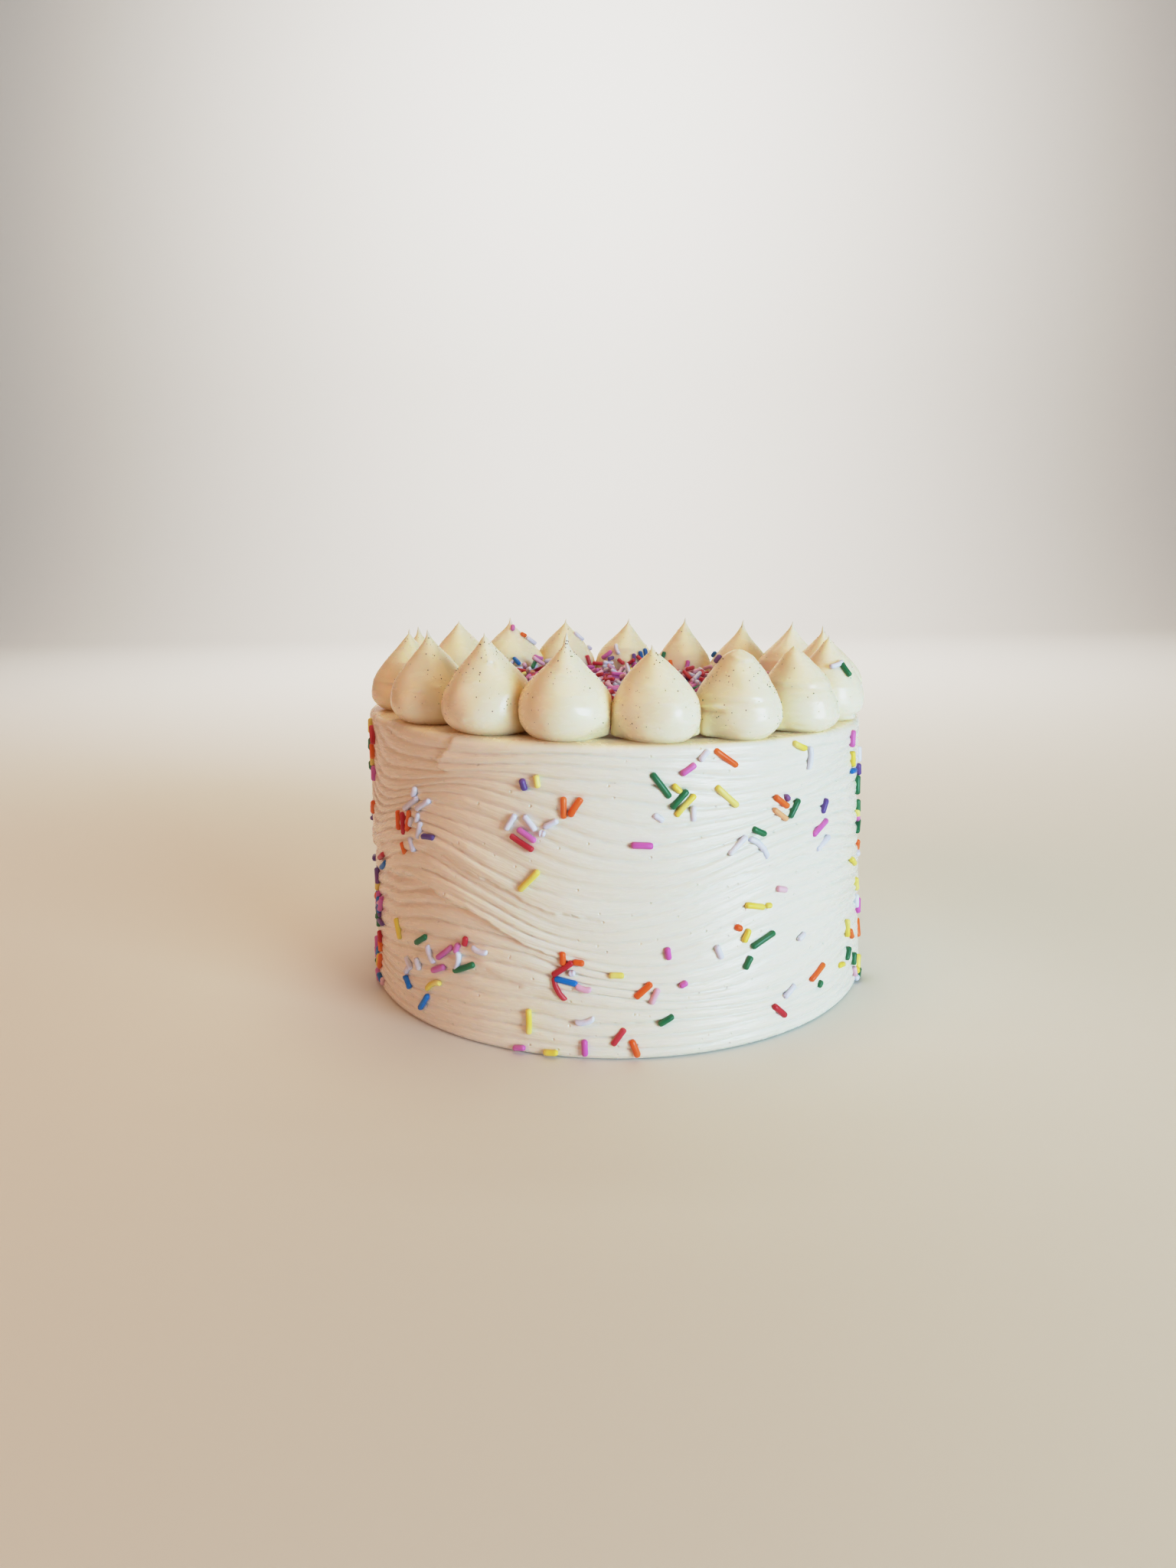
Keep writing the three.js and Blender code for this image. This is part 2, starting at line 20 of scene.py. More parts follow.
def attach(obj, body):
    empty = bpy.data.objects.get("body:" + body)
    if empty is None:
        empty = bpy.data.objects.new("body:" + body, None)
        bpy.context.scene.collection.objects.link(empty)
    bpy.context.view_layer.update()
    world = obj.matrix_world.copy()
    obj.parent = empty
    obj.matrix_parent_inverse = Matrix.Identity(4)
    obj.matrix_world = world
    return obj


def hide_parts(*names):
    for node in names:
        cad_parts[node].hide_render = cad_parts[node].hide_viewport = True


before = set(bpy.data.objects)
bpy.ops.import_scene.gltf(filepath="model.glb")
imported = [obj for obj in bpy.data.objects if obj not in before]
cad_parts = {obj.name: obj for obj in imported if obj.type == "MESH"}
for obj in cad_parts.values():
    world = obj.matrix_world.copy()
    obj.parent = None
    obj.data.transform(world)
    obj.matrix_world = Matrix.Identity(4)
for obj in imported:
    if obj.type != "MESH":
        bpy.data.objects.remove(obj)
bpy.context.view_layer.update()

# %% [markdown]
# Everything below is worked out in millimetres, because the sizes of icing and sprinkles are
# easy to picture that way. Only the last step of each piece brings its mesh to metres, which is
# the unit that the frame uses. The object itself stays unscaled at the origin.

# %% Units and small helpers
MM = 0.001
FULL_TURN = 2 * math.pi
GOLDEN_TURN = 137.5  # degrees
GOLDEN_SHARE = 0.618034
DRAW_FACTOR, DRAW_STEP, DRAW_RANGE = 1664525, 1013904223, 4294967296


def share(x):
    """What is left of a number after its whole part."""
    return x - np.floor(x)


def degrees_between(start, end):
    """The turn from one azimuth to another in degrees, from -180 to 180."""
    return share((end - start) / 360 + 0.5) * 360 - 180


def seeded_draws(seed):
    """A stream of draws from 0 to 1 that is the same every time."""
    state = seed
    while True:
        state = (state * DRAW_FACTOR + DRAW_STEP) % DRAW_RANGE
        yield state / DRAW_RANGE


def finish_piece(name, bm, material, slot, nodes=()):
    """Makes a smooth piece of a bmesh in millimetres and lets it ride on the cake."""
    bmesh.ops.transform(bm, matrix=Matrix.Scale(MM, 4), verts=bm.verts)
    mesh = bpy.data.meshes.new(name)
    bm.to_mesh(mesh)
    bm.free()
    finish_mesh(name, mesh, material, slot, nodes)


def finish_mesh(name, mesh, material, slot, nodes=()):
    """Makes a smooth piece of a mesh in metres and lets it ride on the cake."""
    mesh.shade_smooth()
    mesh.materials.append(material)
    piece = bpy.data.objects.new(name, mesh)
    bpy.context.scene.collection.objects.link(piece)
    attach(piece, "root")
    if nodes:
        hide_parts(*nodes)
    triangles = sum(len(face.vertices) - 2 for face in mesh.polygons)
    print(f"{name}: {triangles} triangles")


print("the first draw of a stream:", round(next(seeded_draws(1)), 3))

# %% [markdown]
# ## The camera
#
# A camera can be aimed with a constraint, or by the three turns that a tripod head makes. The
# turns are used here, because the view has a slight roll that an aiming constraint would lose.
# The lens is a wide one, close to the cake, which is why the base curves so strongly.

# %% Camera
CAMERA_PLACE = Vector((-4.9, -370.3, 146.0)) * MM
LENS_MM = 23.12
PAN, TILT_DOWN, ROLL = (math.radians(a) for a in (0.791, 12.253, -0.802))

camera_data = bpy.data.cameras.new("camera")
camera_data.lens = LENS_MM
camera_data.clip_start = 0.01
camera = bpy.data.objects.new("camera", camera_data)
camera.matrix_world = (
    Matrix.Translation(CAMERA_PLACE)
    @ Matrix.Rotation(PAN, 4, "Z")
    @ Matrix.Rotation(math.pi / 2 - TILT_DOWN, 4, "X")
    @ Matrix.Rotation(ROLL, 4, "Z")
)
bpy.context.scene.collection.objects.link(camera)
bpy.context.scene.camera = camera
print("camera", [round(v, 3) for v in camera.location])

# %% [markdown]
# ## Light and floor
#
# The cake is lit by one window at the front right, low enough to shine on the bellies of the
# kisses. What reaches the other side is weak and warm: a lamp on the left, as in a kitchen, and
# the bounce from the ceiling. Three softboxes do the same, and a fourth lights the paper behind.
#
# The colours could go through a filmic view, but that turns cream grey. The plain standard view
# keeps it, with a curve that rolls the brightest light off below white, so that icing in the
# window's full light doesn't burn out.

# %% View
ROLL_OFF, WHITEST, BRIGHTEST = 0.5, 0.88, 2.0
CURVE_STOPS = (0.55, 0.6, 0.65, 0.7, 0.75, 0.8, 0.9, 1.0, 1.15, 1.3, 1.6)
ALL_COLOURS = 3  # the curve that works on red, green and blue alike


def shown(light):
    """How bright a light is shown: as it is, but for the brightest, which never reach white."""
    over = max(0, light - ROLL_OFF) / (WHITEST - ROLL_OFF)
    return min(light, ROLL_OFF) + (WHITEST - ROLL_OFF) * (1 - math.exp(-over))


view = bpy.context.scene.view_settings
view.view_transform = "Standard"
view.use_curve_mapping = True
view.curve_mapping.white_level = [BRIGHTEST] * 3
view.curve_mapping.extend = "HORIZONTAL"
curve = view.curve_mapping.curves[ALL_COLOURS]
curve.points[1].location = (1, shown(BRIGHTEST))
for light in CURVE_STOPS:
    curve.points.new(light / BRIGHTEST, shown(light))
for point in curve.points:
    point.handle_type = "VECTOR"
view.curve_mapping.update()
print("white paper is shown at", round(shown(1.0), 3))

# %% Lamps
CAKE_MIDDLE = (0, 0, 0.06)
LAMP_DISTANCE = 1.1
ROOM_COLOUR, ROOM_STRENGTH = (1.0, 0.6, 0.35, 1), 0.05


def add_softbox(name, place, target, width, power, colour):
    """A square lamp that faces a target, with its width in metres and its power in watts."""
    light = bpy.data.lights.new(name, "AREA")
    light.shape = "SQUARE"
    light.size = width
    light.energy = power
    light.color = colour
    lamp = bpy.data.objects.new(name, light)
    lamp.location = place
    lamp.rotation_euler = (Vector(target) - Vector(place)).to_track_quat("-Z", "Y").to_euler()
    bpy.context.scene.collection.objects.link(lamp)


def around_cake(azimuth, elevation):
    """A lamp's place in metres, by its azimuth from the front and its elevation in degrees."""
    azimuth, elevation = math.radians(azimuth), math.radians(elevation)
    flat = LAMP_DISTANCE * math.cos(elevation)
    height = CAKE_MIDDLE[2] + LAMP_DISTANCE * math.sin(elevation)
    return (flat * math.sin(azimuth), -flat * math.cos(azimuth), height)


# Name, place, target, width, power and colour
SOFTBOXES = [
    ("window", around_cake(45, 10), CAKE_MIDDLE, 0.5, 11.5, (0.63, 0.86, 1.0)),
    ("kitchen_lamp", around_cake(-60, 25), CAKE_MIDDLE, 0.8, 3.6, (1.0, 0.44, 0.25)),
    ("ceiling", (0.1, -0.1, 1.2), CAKE_MIDDLE, 0.9, 5.7, (1.0, 0.8, 0.48)),
    ("backdrop_lamp", (0, 0.9, 1.5), (0, 2.2, 0.5), 1.2, 34, (1.0, 0.97, 0.94)),
]
for softbox in SOFTBOXES:
    add_softbox(*softbox)
world = bpy.data.worlds.new("room")
world.use_nodes = True
room = world.node_tree.nodes["Background"].inputs
room["Color"].default_value = ROOM_COLOUR
room["Strength"].default_value = ROOM_STRENGTH
bpy.context.scene.world = world
print("softboxes:", ", ".join(softbox[0] for softbox in SOFTBOXES))

# %% Floor
# A sweep of paper, in metres: level under the cake, curved up behind it
FLOOR_FRONT, FLOOR_BACK, FLOOR_HALF, CURVE, WALL_TOP = -2.0, 1.7, 3.0, 0.6, 3.0
CURVE_STEPS = 12
FLOOR_GAP = 0.0002  # how far the paper lies under the cake
FLOOR_TONE, FLOOR_ROUGHNESS = (0.78, 0.77, 0.75, 1), 0.7


def new_material(name):
    """A material, its node tree and its Principled shader."""
    material = bpy.data.materials.new(name)
    material.use_nodes = True
    return material, material.node_tree, material.node_tree.nodes["Principled BSDF"]


floor_bm = bmesh.new()
bends = [math.pi / 2 * i / CURVE_STEPS for i in range(CURVE_STEPS + 1)]
sweep = [(FLOOR_FRONT, 0)]
sweep += [(FLOOR_BACK + CURVE * math.sin(a), CURVE * (1 - math.cos(a))) for a in bends]
sweep.append((FLOOR_BACK + CURVE, WALL_TOP))
line = [floor_bm.verts.new((-FLOOR_HALF, y, z)) for y, z in sweep]
edges = [floor_bm.edges.new(pair) for pair in zip(line, line[1:])]
swept = bmesh.ops.extrude_edge_only(floor_bm, edges=edges)
moved = [g for g in swept["geom"] if isinstance(g, bmesh.types.BMVert)]
bmesh.ops.translate(floor_bm, vec=(2 * FLOOR_HALF, 0, 0), verts=moved)
bmesh.ops.recalc_face_normals(floor_bm, faces=floor_bm.faces)
floor_mesh = bpy.data.meshes.new("floor")
floor_bm.to_mesh(floor_mesh)
floor_bm.free()
floor_mesh.shade_smooth()
floor = bpy.data.objects.new("floor", floor_mesh)
floor.location.z = -FLOOR_GAP
bpy.context.scene.collection.objects.link(floor)

floor_paint, _, floor_shader = new_material("pale_floor")
floor_shader.inputs["Base Color"].default_value = FLOOR_TONE
floor_shader.inputs["Roughness"].default_value = FLOOR_ROUGHNESS
floor_mesh.materials.append(floor_paint)
print("paper sweep of", len(floor_mesh.polygons), "faces")

# %% [markdown]
# ## Buttercream
#
# Buttercream is butter beaten with sugar: light enters it a little way and comes out warmer, its
# skin is satin, and up close it has tiny pits where air has burst and streaks where the spatula
# went. One node group mixes these for the combed side and for the kisses, with its own numbers
# for each. The light inside the cream is the Principled shader's subsurface, which stays in the
# material, because the group gives out only a colour, a roughness and a normal.

# %% Helpers for materials
def new_group(name, inputs, outputs):
    """An empty node group with its sockets, and the nodes that stand for them inside it."""
    group = bpy.data.node_groups.new(name, "ShaderNodeTree")
    for label, kind, value in inputs:
        socket = group.interface.new_socket(label, in_out="INPUT", socket_type=kind)
        if value is not None:
            socket.default_value = value
    for label, kind in outputs:
        group.interface.new_socket(label, in_out="OUTPUT", socket_type=kind)
    tree = group.nodes
    return group, tree.new("NodeGroupInput").outputs, tree.new("NodeGroupOutput").inputs


def add_node(tree, kind, links=(), **settings):
    """Adds a node, sets what is given, and links its inputs by name."""
    node = tree.nodes.new(kind)
    for key, value in settings.items():
        if key in node.inputs:
            node.inputs[key].default_value = value
        else:
            setattr(node, key, value)
    for socket, source in dict(links).items():
        tree.links.new(source, node.inputs[socket])
    return node


def remap(tree, value, low, high, to_low=0.0, to_high=1.0):
    """Stretches one range of a value to another, and holds it at the ends."""
    limits = {"From Min": low, "From Max": high, "To Min": to_low, "To Max": to_high}
    return add_node(tree, "ShaderNodeMapRange", {"Value": value}, **limits).outputs["Result"]


def blend(tree, factor, *colours):
    """Goes from one colour to another, each of them three numbers or a socket."""
    node = add_node(tree, "ShaderNodeMix", {"Factor": factor}, data_type="RGBA")
    for label, colour in zip("AB", colours):
        if isinstance(colour, tuple):
            node.inputs[label].default_value = (*colour, 1)
        else:
            tree.links.new(colour, node.inputs[label])
    return node.outputs["Result"]


# %% Buttercream group
CLOUD_SCALE, PIT_SCALE = 28.0, 240.0
BUTTER_FROM, BUTTER_TO, MOST_BUTTER = 0.35, 0.75, 0.55
PIT_FROM, PIT_TO = 0.04, 0.12  # between which the wall of a pit rises
GLOSSIEST, DULLEST = 0.1, 0.42
SKIN_RELIEF = 0.0003


def cream_group():
    """Colour, roughness and normal of buttercream, as a node group."""
    group, given, out = new_group(
        "buttercream_surface",
        [
            ("Place", "NodeSocketVector", None),
            ("Cream", "NodeSocketColor", (0.9, 0.83, 0.66, 1)),
            ("Butter", "NodeSocketColor", (0.86, 0.72, 0.46, 1)),
            ("Streak Scale", "NodeSocketFloat", 60.0),
            ("Relief", "NodeSocketFloat", 0.3),
        ],
        [
            ("Color", "NodeSocketColor"),
            ("Roughness", "NodeSocketFloat"),
            ("Normal", "NodeSocketVector"),
        ],
    )
    place, scale = given["Place"], given["Streak Scale"]
    clouds = add_node(
        group, "ShaderNodeTexNoise", {"Vector": place}, Scale=CLOUD_SCALE, Detail=2.0
    ).outputs["Fac"]
    streaks = add_node(
        group, "ShaderNodeTexNoise", {"Vector": place, "Scale": scale}, Detail=3.0, Roughness=0.6
    ).outputs["Fac"]
    skin = add_node(group, "ShaderNodeTexCoord").outputs["Object"]
    pits = add_node(
        group, "ShaderNodeTexVoronoi", {"Vector": skin}, Scale=PIT_SCALE, Randomness=1.0
    ).outputs["Distance"]
    pit_mask = remap(group, pits, PIT_FROM, PIT_TO)
    butter = remap(group, clouds, BUTTER_FROM, BUTTER_TO, 0.0, MOST_BUTTER)
    sheen = remap(group, streaks, 0.0, 1.0, GLOSSIEST, DULLEST)
    heights = add_node(group, "ShaderNodeMath", {0: streaks, 1: pit_mask}, operation="ADD")
    bump = add_node(
        group,
        "ShaderNodeBump",
        {"Height": heights.outputs["Value"], "Strength": given["Relief"]},
        Distance=SKIN_RELIEF,
    )
    group.links.new(blend(group, butter, given["Cream"], given["Butter"]), out["Color"])
    group.links.new(sheen, out["Roughness"])
    group.links.new(bump.outputs["Normal"], out["Normal"])
    return group


CREAM_SURFACE = cream_group()
print("group", CREAM_SURFACE.name, "with", len(CREAM_SURFACE.nodes), "nodes")

# %% Buttercream materials
LIGHT_REACH = (1.0, 0.62, 0.36)  # how much further red light gets than blue
# Painted shade: a deeper, warmer tone for folds, for the shade there and the light through cream
PAINTED_SHADE_TONE = (0.89, 0.67, 0.32)


def let_light_in(shader, depth, reach):
    """Light inside a material: how much of it there is, and how many metres it gets."""
    shader.inputs["Subsurface Weight"].default_value = depth
    shader.inputs["Subsurface Radius"].default_value = LIGHT_REACH
    shader.inputs["Subsurface Scale"].default_value = reach


def buttercream(name, cream, butter, streak_scale, relief, depth, reach):
    """Buttercream with its own tones, streaks, relief and depth, and painted shade in folds."""
    material, tree, shader = new_material(name)
    source = add_node(tree, "ShaderNodeAttribute", attribute_name="streak_place").outputs["Vector"]
    surface = add_node(tree, "ShaderNodeGroup", {"Place": source}, node_tree=CREAM_SURFACE)
    surface.inputs["Cream"].default_value = (*cream, 1)
    surface.inputs["Butter"].default_value = (*butter, 1)
    surface.inputs["Streak Scale"].default_value = streak_scale
    surface.inputs["Relief"].default_value = relief
    # Mask of painted shade, which mixes the deeper tone into the cream
    painted_shade = add_node(tree, "ShaderNodeAttribute", attribute_name="painted_shade").outputs["Fac"]
    colour = blend(tree, painted_shade, surface.outputs["Color"], PAINTED_SHADE_TONE)
    tree.links.new(colour, shader.inputs["Base Color"])
    tree.links.new(surface.outputs["Roughness"], shader.inputs["Roughness"])
    tree.links.new(surface.outputs["Normal"], shader.inputs["Normal"])
    let_light_in(shader, depth, reach)
    return material


combed_cream = buttercream(
    "combed_buttercream", cream=(0.91, 0.86, 0.76), butter=(0.89, 0.83, 0.71),
    streak_scale=150.0, relief=0.9, depth=0.35, reach=0.0012,
)
piped_cream = buttercream(
    "piped_buttercream", cream=(0.91, 0.85, 0.69), butter=(0.9, 0.81, 0.58),
    streak_scale=160.0, relief=0.35, depth=0.6, reach=0.006,
)
print("materials:", combed_cream.name, "and", piped_cream.name)

# %% [markdown]
# ## The combed side
#
# The side of the real cake was spread with a palette knife and then combed. The comb's teeth
# leave broad ridges with sharp grooves between them, four millimetres apart. The hand went up
# and down on the way round, so the ridges swing, and where the comb was lifted and set down
# again, one stroke overlaps the next in a ragged lip.
#
# A displacement texture could do it, but the ridges have to follow the swing. So a flat grid is
# wrapped round the cake, and its rows are laid along the ridges: each vertex knows its level,
# which says how far out it stands, and the swing says how high it lies.

# %% Size of the cake
CAKE_HEIGHT = 95.6
BASE_RADIUS = 91.2
TOP_RADIUS = 87.2
BASE_EDGE, RIM_ROUNDING = 1.4, 1.8  # radii of the edges at the base and at the rim
TOP_SLOPE = 0.026  # share by which the top falls towards +X


def radius_at(z):
    """Radius of the side at a height, without its relief."""
    return BASE_RADIUS + (TOP_RADIUS - BASE_RADIUS) * z / CAKE_HEIGHT


def top_rise(x):
    """How much higher than at its middle the top lies at a distance towards +X."""
    return -TOP_SLOPE * x


print("from rim to rim the top falls by", round(-top_rise(2 * TOP_RADIUS), 1), "mm")

# %% Flow of the ridges
RIDGES = 24
RIDGE_PITCH = CAKE_HEIGHT / RIDGES
WAVES, WAVE_START, WAVE_SKEW = 4, 0.05, 0.2  # how often the comb went up and down, and where
SWING, SWING_TILT = 7, 0.35  # how far, and how much less of it towards +X
SWING_LOW, SWING_HIGH = 9, 94  # the levels between which the ridges swing
LAG_LEVEL, LAG_REACH = 50, 25  # the swing comes later away from this level


def ridge_height(azimuth, level):
    """Height at which the ridge of a level runs past an azimuth."""
    reach = np.clip((level - SWING_LOW) / (SWING_HIGH - SWING_LOW), 0, 1)
    swing = SWING * np.sin(math.pi * reach) * (1 - SWING_TILT * np.sin(azimuth))
    lag = ((level - LAG_LEVEL) / LAG_REACH) ** 2
    return level - swing * np.cos(WAVES * azimuth + WAVE_SKEW * np.sin(azimuth) + WAVE_START - lag)


print("ridges every", round(RIDGE_PITCH, 2), "mm")

# %% [markdown]
# A seam is where one stroke of the comb lies over another. It could be cut into the mesh as a
# real edge, but a soft step in the relief is enough at this size. Just over a seam the icing
# stands out as a lip, just under it the icing is scraped thinner, and on both sides the ridges
# are smeared. Under some seams the teeth also ran off the flow of the ridges around them.
#
# Nothing that a hand does is even, so small waves run round the cake in the bulge of the side,
# in the ragged edge of a seam and in the drift of the teeth. One function adds up all of them.

# %% Seams
# Waves of handwork: how deep, how many round the cake, where they start, and their slant, which
# is the height over which a wave moves on by one radian
BULGES = [(0.5, 2, 1, 40), (0.35, 5, 0, -23)]
RAGGED = [(0.6, 23, 0, 3), (0.25, 71, 2, math.inf), (0.2, 163, 1, math.inf)]

# From azimuth, to azimuth, ridge level there and there, thickness, and how far the teeth below
# it ran off the flow, in millimetres for each degree
SEAMS = [
    (-50, 0, 51.5, 50.5, 1.2, -0.05),
    (-62, -9, 44, 33.5, 2, 0.18),
    (-30, -13, 22, 18.5, 0.7, 0.1),
    (2, 74, 57, 47, 0.9, 0.1),
    (33, 64, 77, 66, 0.4, 0.1),
    (40, 82, 33, 34, 0.5, 0.1),
    (84, 150, 38, 46, 1.2, 0.1),
    (96, 172, 62, 66, 0.9, -0.1),
    (160, 226, 50, 44, 1.1, 0.2),
    (206, 262, 30, 38, 1, -0.2),
    (232, 296, 60, 54, 1.2, 0.2),
]
SEAM_FADE = 3  # a seam runs out over the last third of each of its halves
LIP_REACH, SCRAPE, SCRAPE_REACH = 5, 0.35, 2
LIP_ROUNDING = 0.25
STEP_ENDS = 30  # past which the soft step is flat, in roundings of the lip
SMEAR_OVER, SMEAR_UNDER = 0.9, 0.4  # how much of the ridges is smeared over and under a seam
REACH_OVER, REACH_UNDER = 1.8, 5  # how far, over it for each millimetre of its thickness

# The edge of a stroke that starts at the upper left, as levels and azimuths
START_LEVELS, START_AZIMUTHS = (82, 83.5, 87, 90.4, 94, 97), (-34, -36.6, -39, -37, -34, -31)
START_THICKNESS, START_REACH, START_FADE = 1.2, 14, 2
START_RAGGED, START_WAVE = 0.5, 2.3


def hand_waves(waves, azimuth, height):
    """How far handwork is off at a place, as the sum of its waves."""
    return sum(
        depth * np.sin(number * azimuth + start + height / slant)
        for depth, number, start, slant in waves
    )


def above_seam(azimuth, level, start, end, start_level, end_level):
    """How far a level lies over a ragged seam, and how much of the seam is left there."""
    along = degrees_between((start + end) / 2, np.degrees(azimuth)) / ((end - start) / 2)
    left = np.clip(SEAM_FADE * (1 - np.abs(along)), 0, 1)
    seam_level = start_level + (end_level - start_level) * (along + 1) / 2
    return level - seam_level - hand_waves(RAGGED, azimuth, level), left


def soft_step(distance):
    """From 0 to 1 across an edge that is as round as the lip of a seam."""
    return 1 / (1 + np.exp(-np.clip(distance / LIP_ROUNDING, -STEP_ENDS, STEP_ENDS)))


def seam_relief(azimuth, level):
    """How far the seams lift or sink the icing."""
    relief = np.zeros_like(azimuth * level)
    for *edge, thickness, _ in SEAMS:
        above, left = above_seam(azimuth, level, *edge)
        raised = np.exp(-np.maximum(above, 0) / LIP_REACH)
        sunk = -SCRAPE * np.exp(np.minimum(above, 0) / SCRAPE_REACH)
        relief = relief + left * thickness * (sunk + (raised - sunk) * soft_step(above))
    edge = np.interp(level, START_LEVELS, START_AZIMUTHS)
    beyond = degrees_between(edge, np.degrees(azimuth)) * math.radians(BASE_RADIUS)
    beyond = beyond + START_RAGGED * np.sin(level * START_WAVE)
    begun = START_THICKNESS * soft_step(beyond) * np.exp(-np.maximum(beyond, 0) / START_REACH)
    return relief + begun * np.clip((level - START_LEVELS[0]) / START_FADE, 0, 1)


def ridges_left(azimuth, level):
    """How much of the ridges is left near the seams, where the next stroke smeared them."""
    left_over = np.ones_like(azimuth * level)
    for *edge, thickness, _ in SEAMS:
        above, left = above_seam(azimuth, level, *edge)
        over = SMEAR_OVER * np.exp(-((above / (REACH_OVER * thickness)) ** 2))
        under = SMEAR_UNDER * np.exp(np.minimum(above, 0) / REACH_UNDER)
        left_over = left_over * (1 - left * min(1, thickness) * np.where(above > 0, over, under))
    return left_over


print(len(SEAMS), "seams, the thickest of", max(seam[4] for seam in SEAMS), "mm")

# %% Ridges and grain
RIDGE_DEPTH, DEPTH_SPREAD, DEPTH_WAVES, DEPTH_DRIFT = 1.15, 0.35, 3, 11
RIDGE_LEAN, RIDGE_FULLNESS, RIDGE_MIDDLE = 0.07, 0.5, 0.5
DRIFT = [(0.14, 7, 0, 5), (0.08, 13, 0, -3)]  # waves of the teeth, with their depth in ridges
DRIFT_FADE = 8  # the height over which the drift sets in
RAN_OFF_REACH = 10  # how far below a seam the teeth run off

# The ridges curl up or down towards the rim here: azimuth, reach in degrees, and rise
CURLS = [(-86, 18, 14), (118, 20, 9), (196, 24, -8)]
CURL_FROM, CURL_FADE = 45, 30  # the level at which they set in, and over how many levels

STREAK_LENGTH, STREAK_RELIEF = 12, 0.16
LUMP_SIZE, LUMP_SQUEEZE, LUMP_FROM, LUMP_RELIEF = 2.2, 1.3, 0.35, 0.3


def ran_off(azimuth, level):
    """How far, in levels, the teeth ran off the flow of the ridges beside them."""
    drag = np.zeros_like(azimuth * level)
    for *edge, _, slant in SEAMS:
        above, left = above_seam(azimuth, level, *edge)
        off = slant * degrees_between((edge[0] + edge[1]) / 2, np.degrees(azimuth))
        drag = drag + left * off * np.exp(np.minimum(above, 0) / RAN_OFF_REACH) * (above < 0)
    for middle, reach, rise in CURLS:
        off = degrees_between(middle, np.degrees(azimuth)) / reach
        drag = drag + rise * np.exp(-off**2) * np.clip((level - CURL_FROM) / CURL_FADE, 0, 1)
    return drag


def comb_relief(azimuth, level):
    """Broad ridges with narrow grooves, as a comb dragged through cream leaves them."""
    drift = hand_waves(DRIFT, azimuth, level) * np.clip(level / DRIFT_FADE, 0, 1)
    tooth = (level - ran_off(azimuth, level)) / RIDGE_PITCH + drift
    depth = RIDGE_DEPTH * (1 + DEPTH_SPREAD * np.sin(DEPTH_WAVES * azimuth + level / DEPTH_DRIFT))
    leaning = tooth + RIDGE_LEAN * np.sin(FULL_TURN * tooth)
    return depth * (np.abs(np.sin(math.pi * leaning)) ** RIDGE_FULLNESS - RIDGE_MIDDLE)


def cream_grain(place, level):
    """Streaks along the ridges and small lumps, where the cream tore."""
    streak = noise.noise(Vector((place[0] / STREAK_LENGTH, place[1] / STREAK_LENGTH, level)))
    lump = noise.noise(Vector((place[0], place[1], LUMP_SQUEEZE * level)) / LUMP_SIZE)
    return STREAK_RELIEF * streak + LUMP_RELIEF * max(0.0, lump - LUMP_FROM)


print("ridges up to", round(RIDGE_DEPTH * (1 + DEPTH_SPREAD), 2), "mm deep")

# %% Sizes of the kisses, which stand on the icing
KISS_RING_RADIUS = 75.4
RING_SHIFT = 1.7  # how far the ring and the heap lie to the +X side of the middle
KISS_FOOT = 0.62  # radius of the foot, as a share of the largest radius

# Azimuth, height, largest radius, length of the drawn-out tip (or of what is missing of it),
# how slender the kiss is over its waist, the share of its height at which that waist is, and
# how far its tip leans inwards and to one side
KISS_ROWS = [
    (7.5, 28.2, 13.2, 1.8, 0.9, 0.3, 0.7, -1.3),
    (27.7, 26.5, 13.2, -4.3, 1.2, 0.23, 0.5, 0.1),
    (48.2, 26.5, 13.4, -0.7, 1, 0.2, 1.6, -0.4),
    (69, 28.5, 12.5, 1.1, 1, 0.26, -0.2, 0.1),
    (91.5, 30.2, 13.8, 2, 1.3, 0.35, 0.6, 0),
    (115, 30, 13.9, 1.6, 1.4, 0.35, -1, -0.6),
    (136.4, 29.2, 13.7, 1.4, 1.55, 0.25, -0.8, -0.9),
    (157, 29.1, 13, 1.6, 1.25, 0.2, 0, -0.9),
    (176.5, 28.1, 13.7, 1.6, 1.25, 0.26, 0.3, -1.6),
    (197, 27.8, 13.5, 1.6, 1.1, 0.28, 0.8, -0.6),
    (216.2, 28.6, 14, 1.5, 1.4, 0.36, 0.4, 0.2),
    (237.1, 28.1, 13.6, 0.6, 1.2, 0.28, -0.1, 0.3),
    (260, 27.2, 13.7, 2.2, 1.35, 0.3, -0.9, 0.3),
    (283, 28.1, 13.4, 1, 1.2, 0.2, 0.5, -0.2),
    (306.5, 29.8, 14, 0.6, 1.4, 0.23, -1.2, -0.6),
    (327.6, 30.3, 14.6, 0.8, 1.15, 0.24, -0.8, -0.9),
    (347, 31.3, 14.2, 3.4, 1.15, 0.29, 0.8, 0.4),
]
Kiss = namedtuple("Kiss", "azimuth height radius tip slender waist lean sway")
KISSES = [Kiss(*row) for row in KISS_ROWS]


def ring_place(kiss):
    """Where a kiss stands, from the middle of the ring."""
    bearing = math.radians(kiss.azimuth)
    return KISS_RING_RADIUS * math.sin(bearing), -KISS_RING_RADIUS * math.cos(bearing)


print(len(KISSES), "kisses, the tallest of", max(kiss.height for kiss in KISSES), "mm")

# %% Grid wrapped round the cake
COLUMNS = 440
FINER_IN_FRONT = 0.3  # share by which the columns lie closer at the front than elsewhere
UNDER_ROWS, EDGE_ROWS, SIDE_ROWS, TOP_ROWS = 3, 4, 198, 10
TOP_CROWDING = 1.5  # how the rows of the top crowd towards the rim


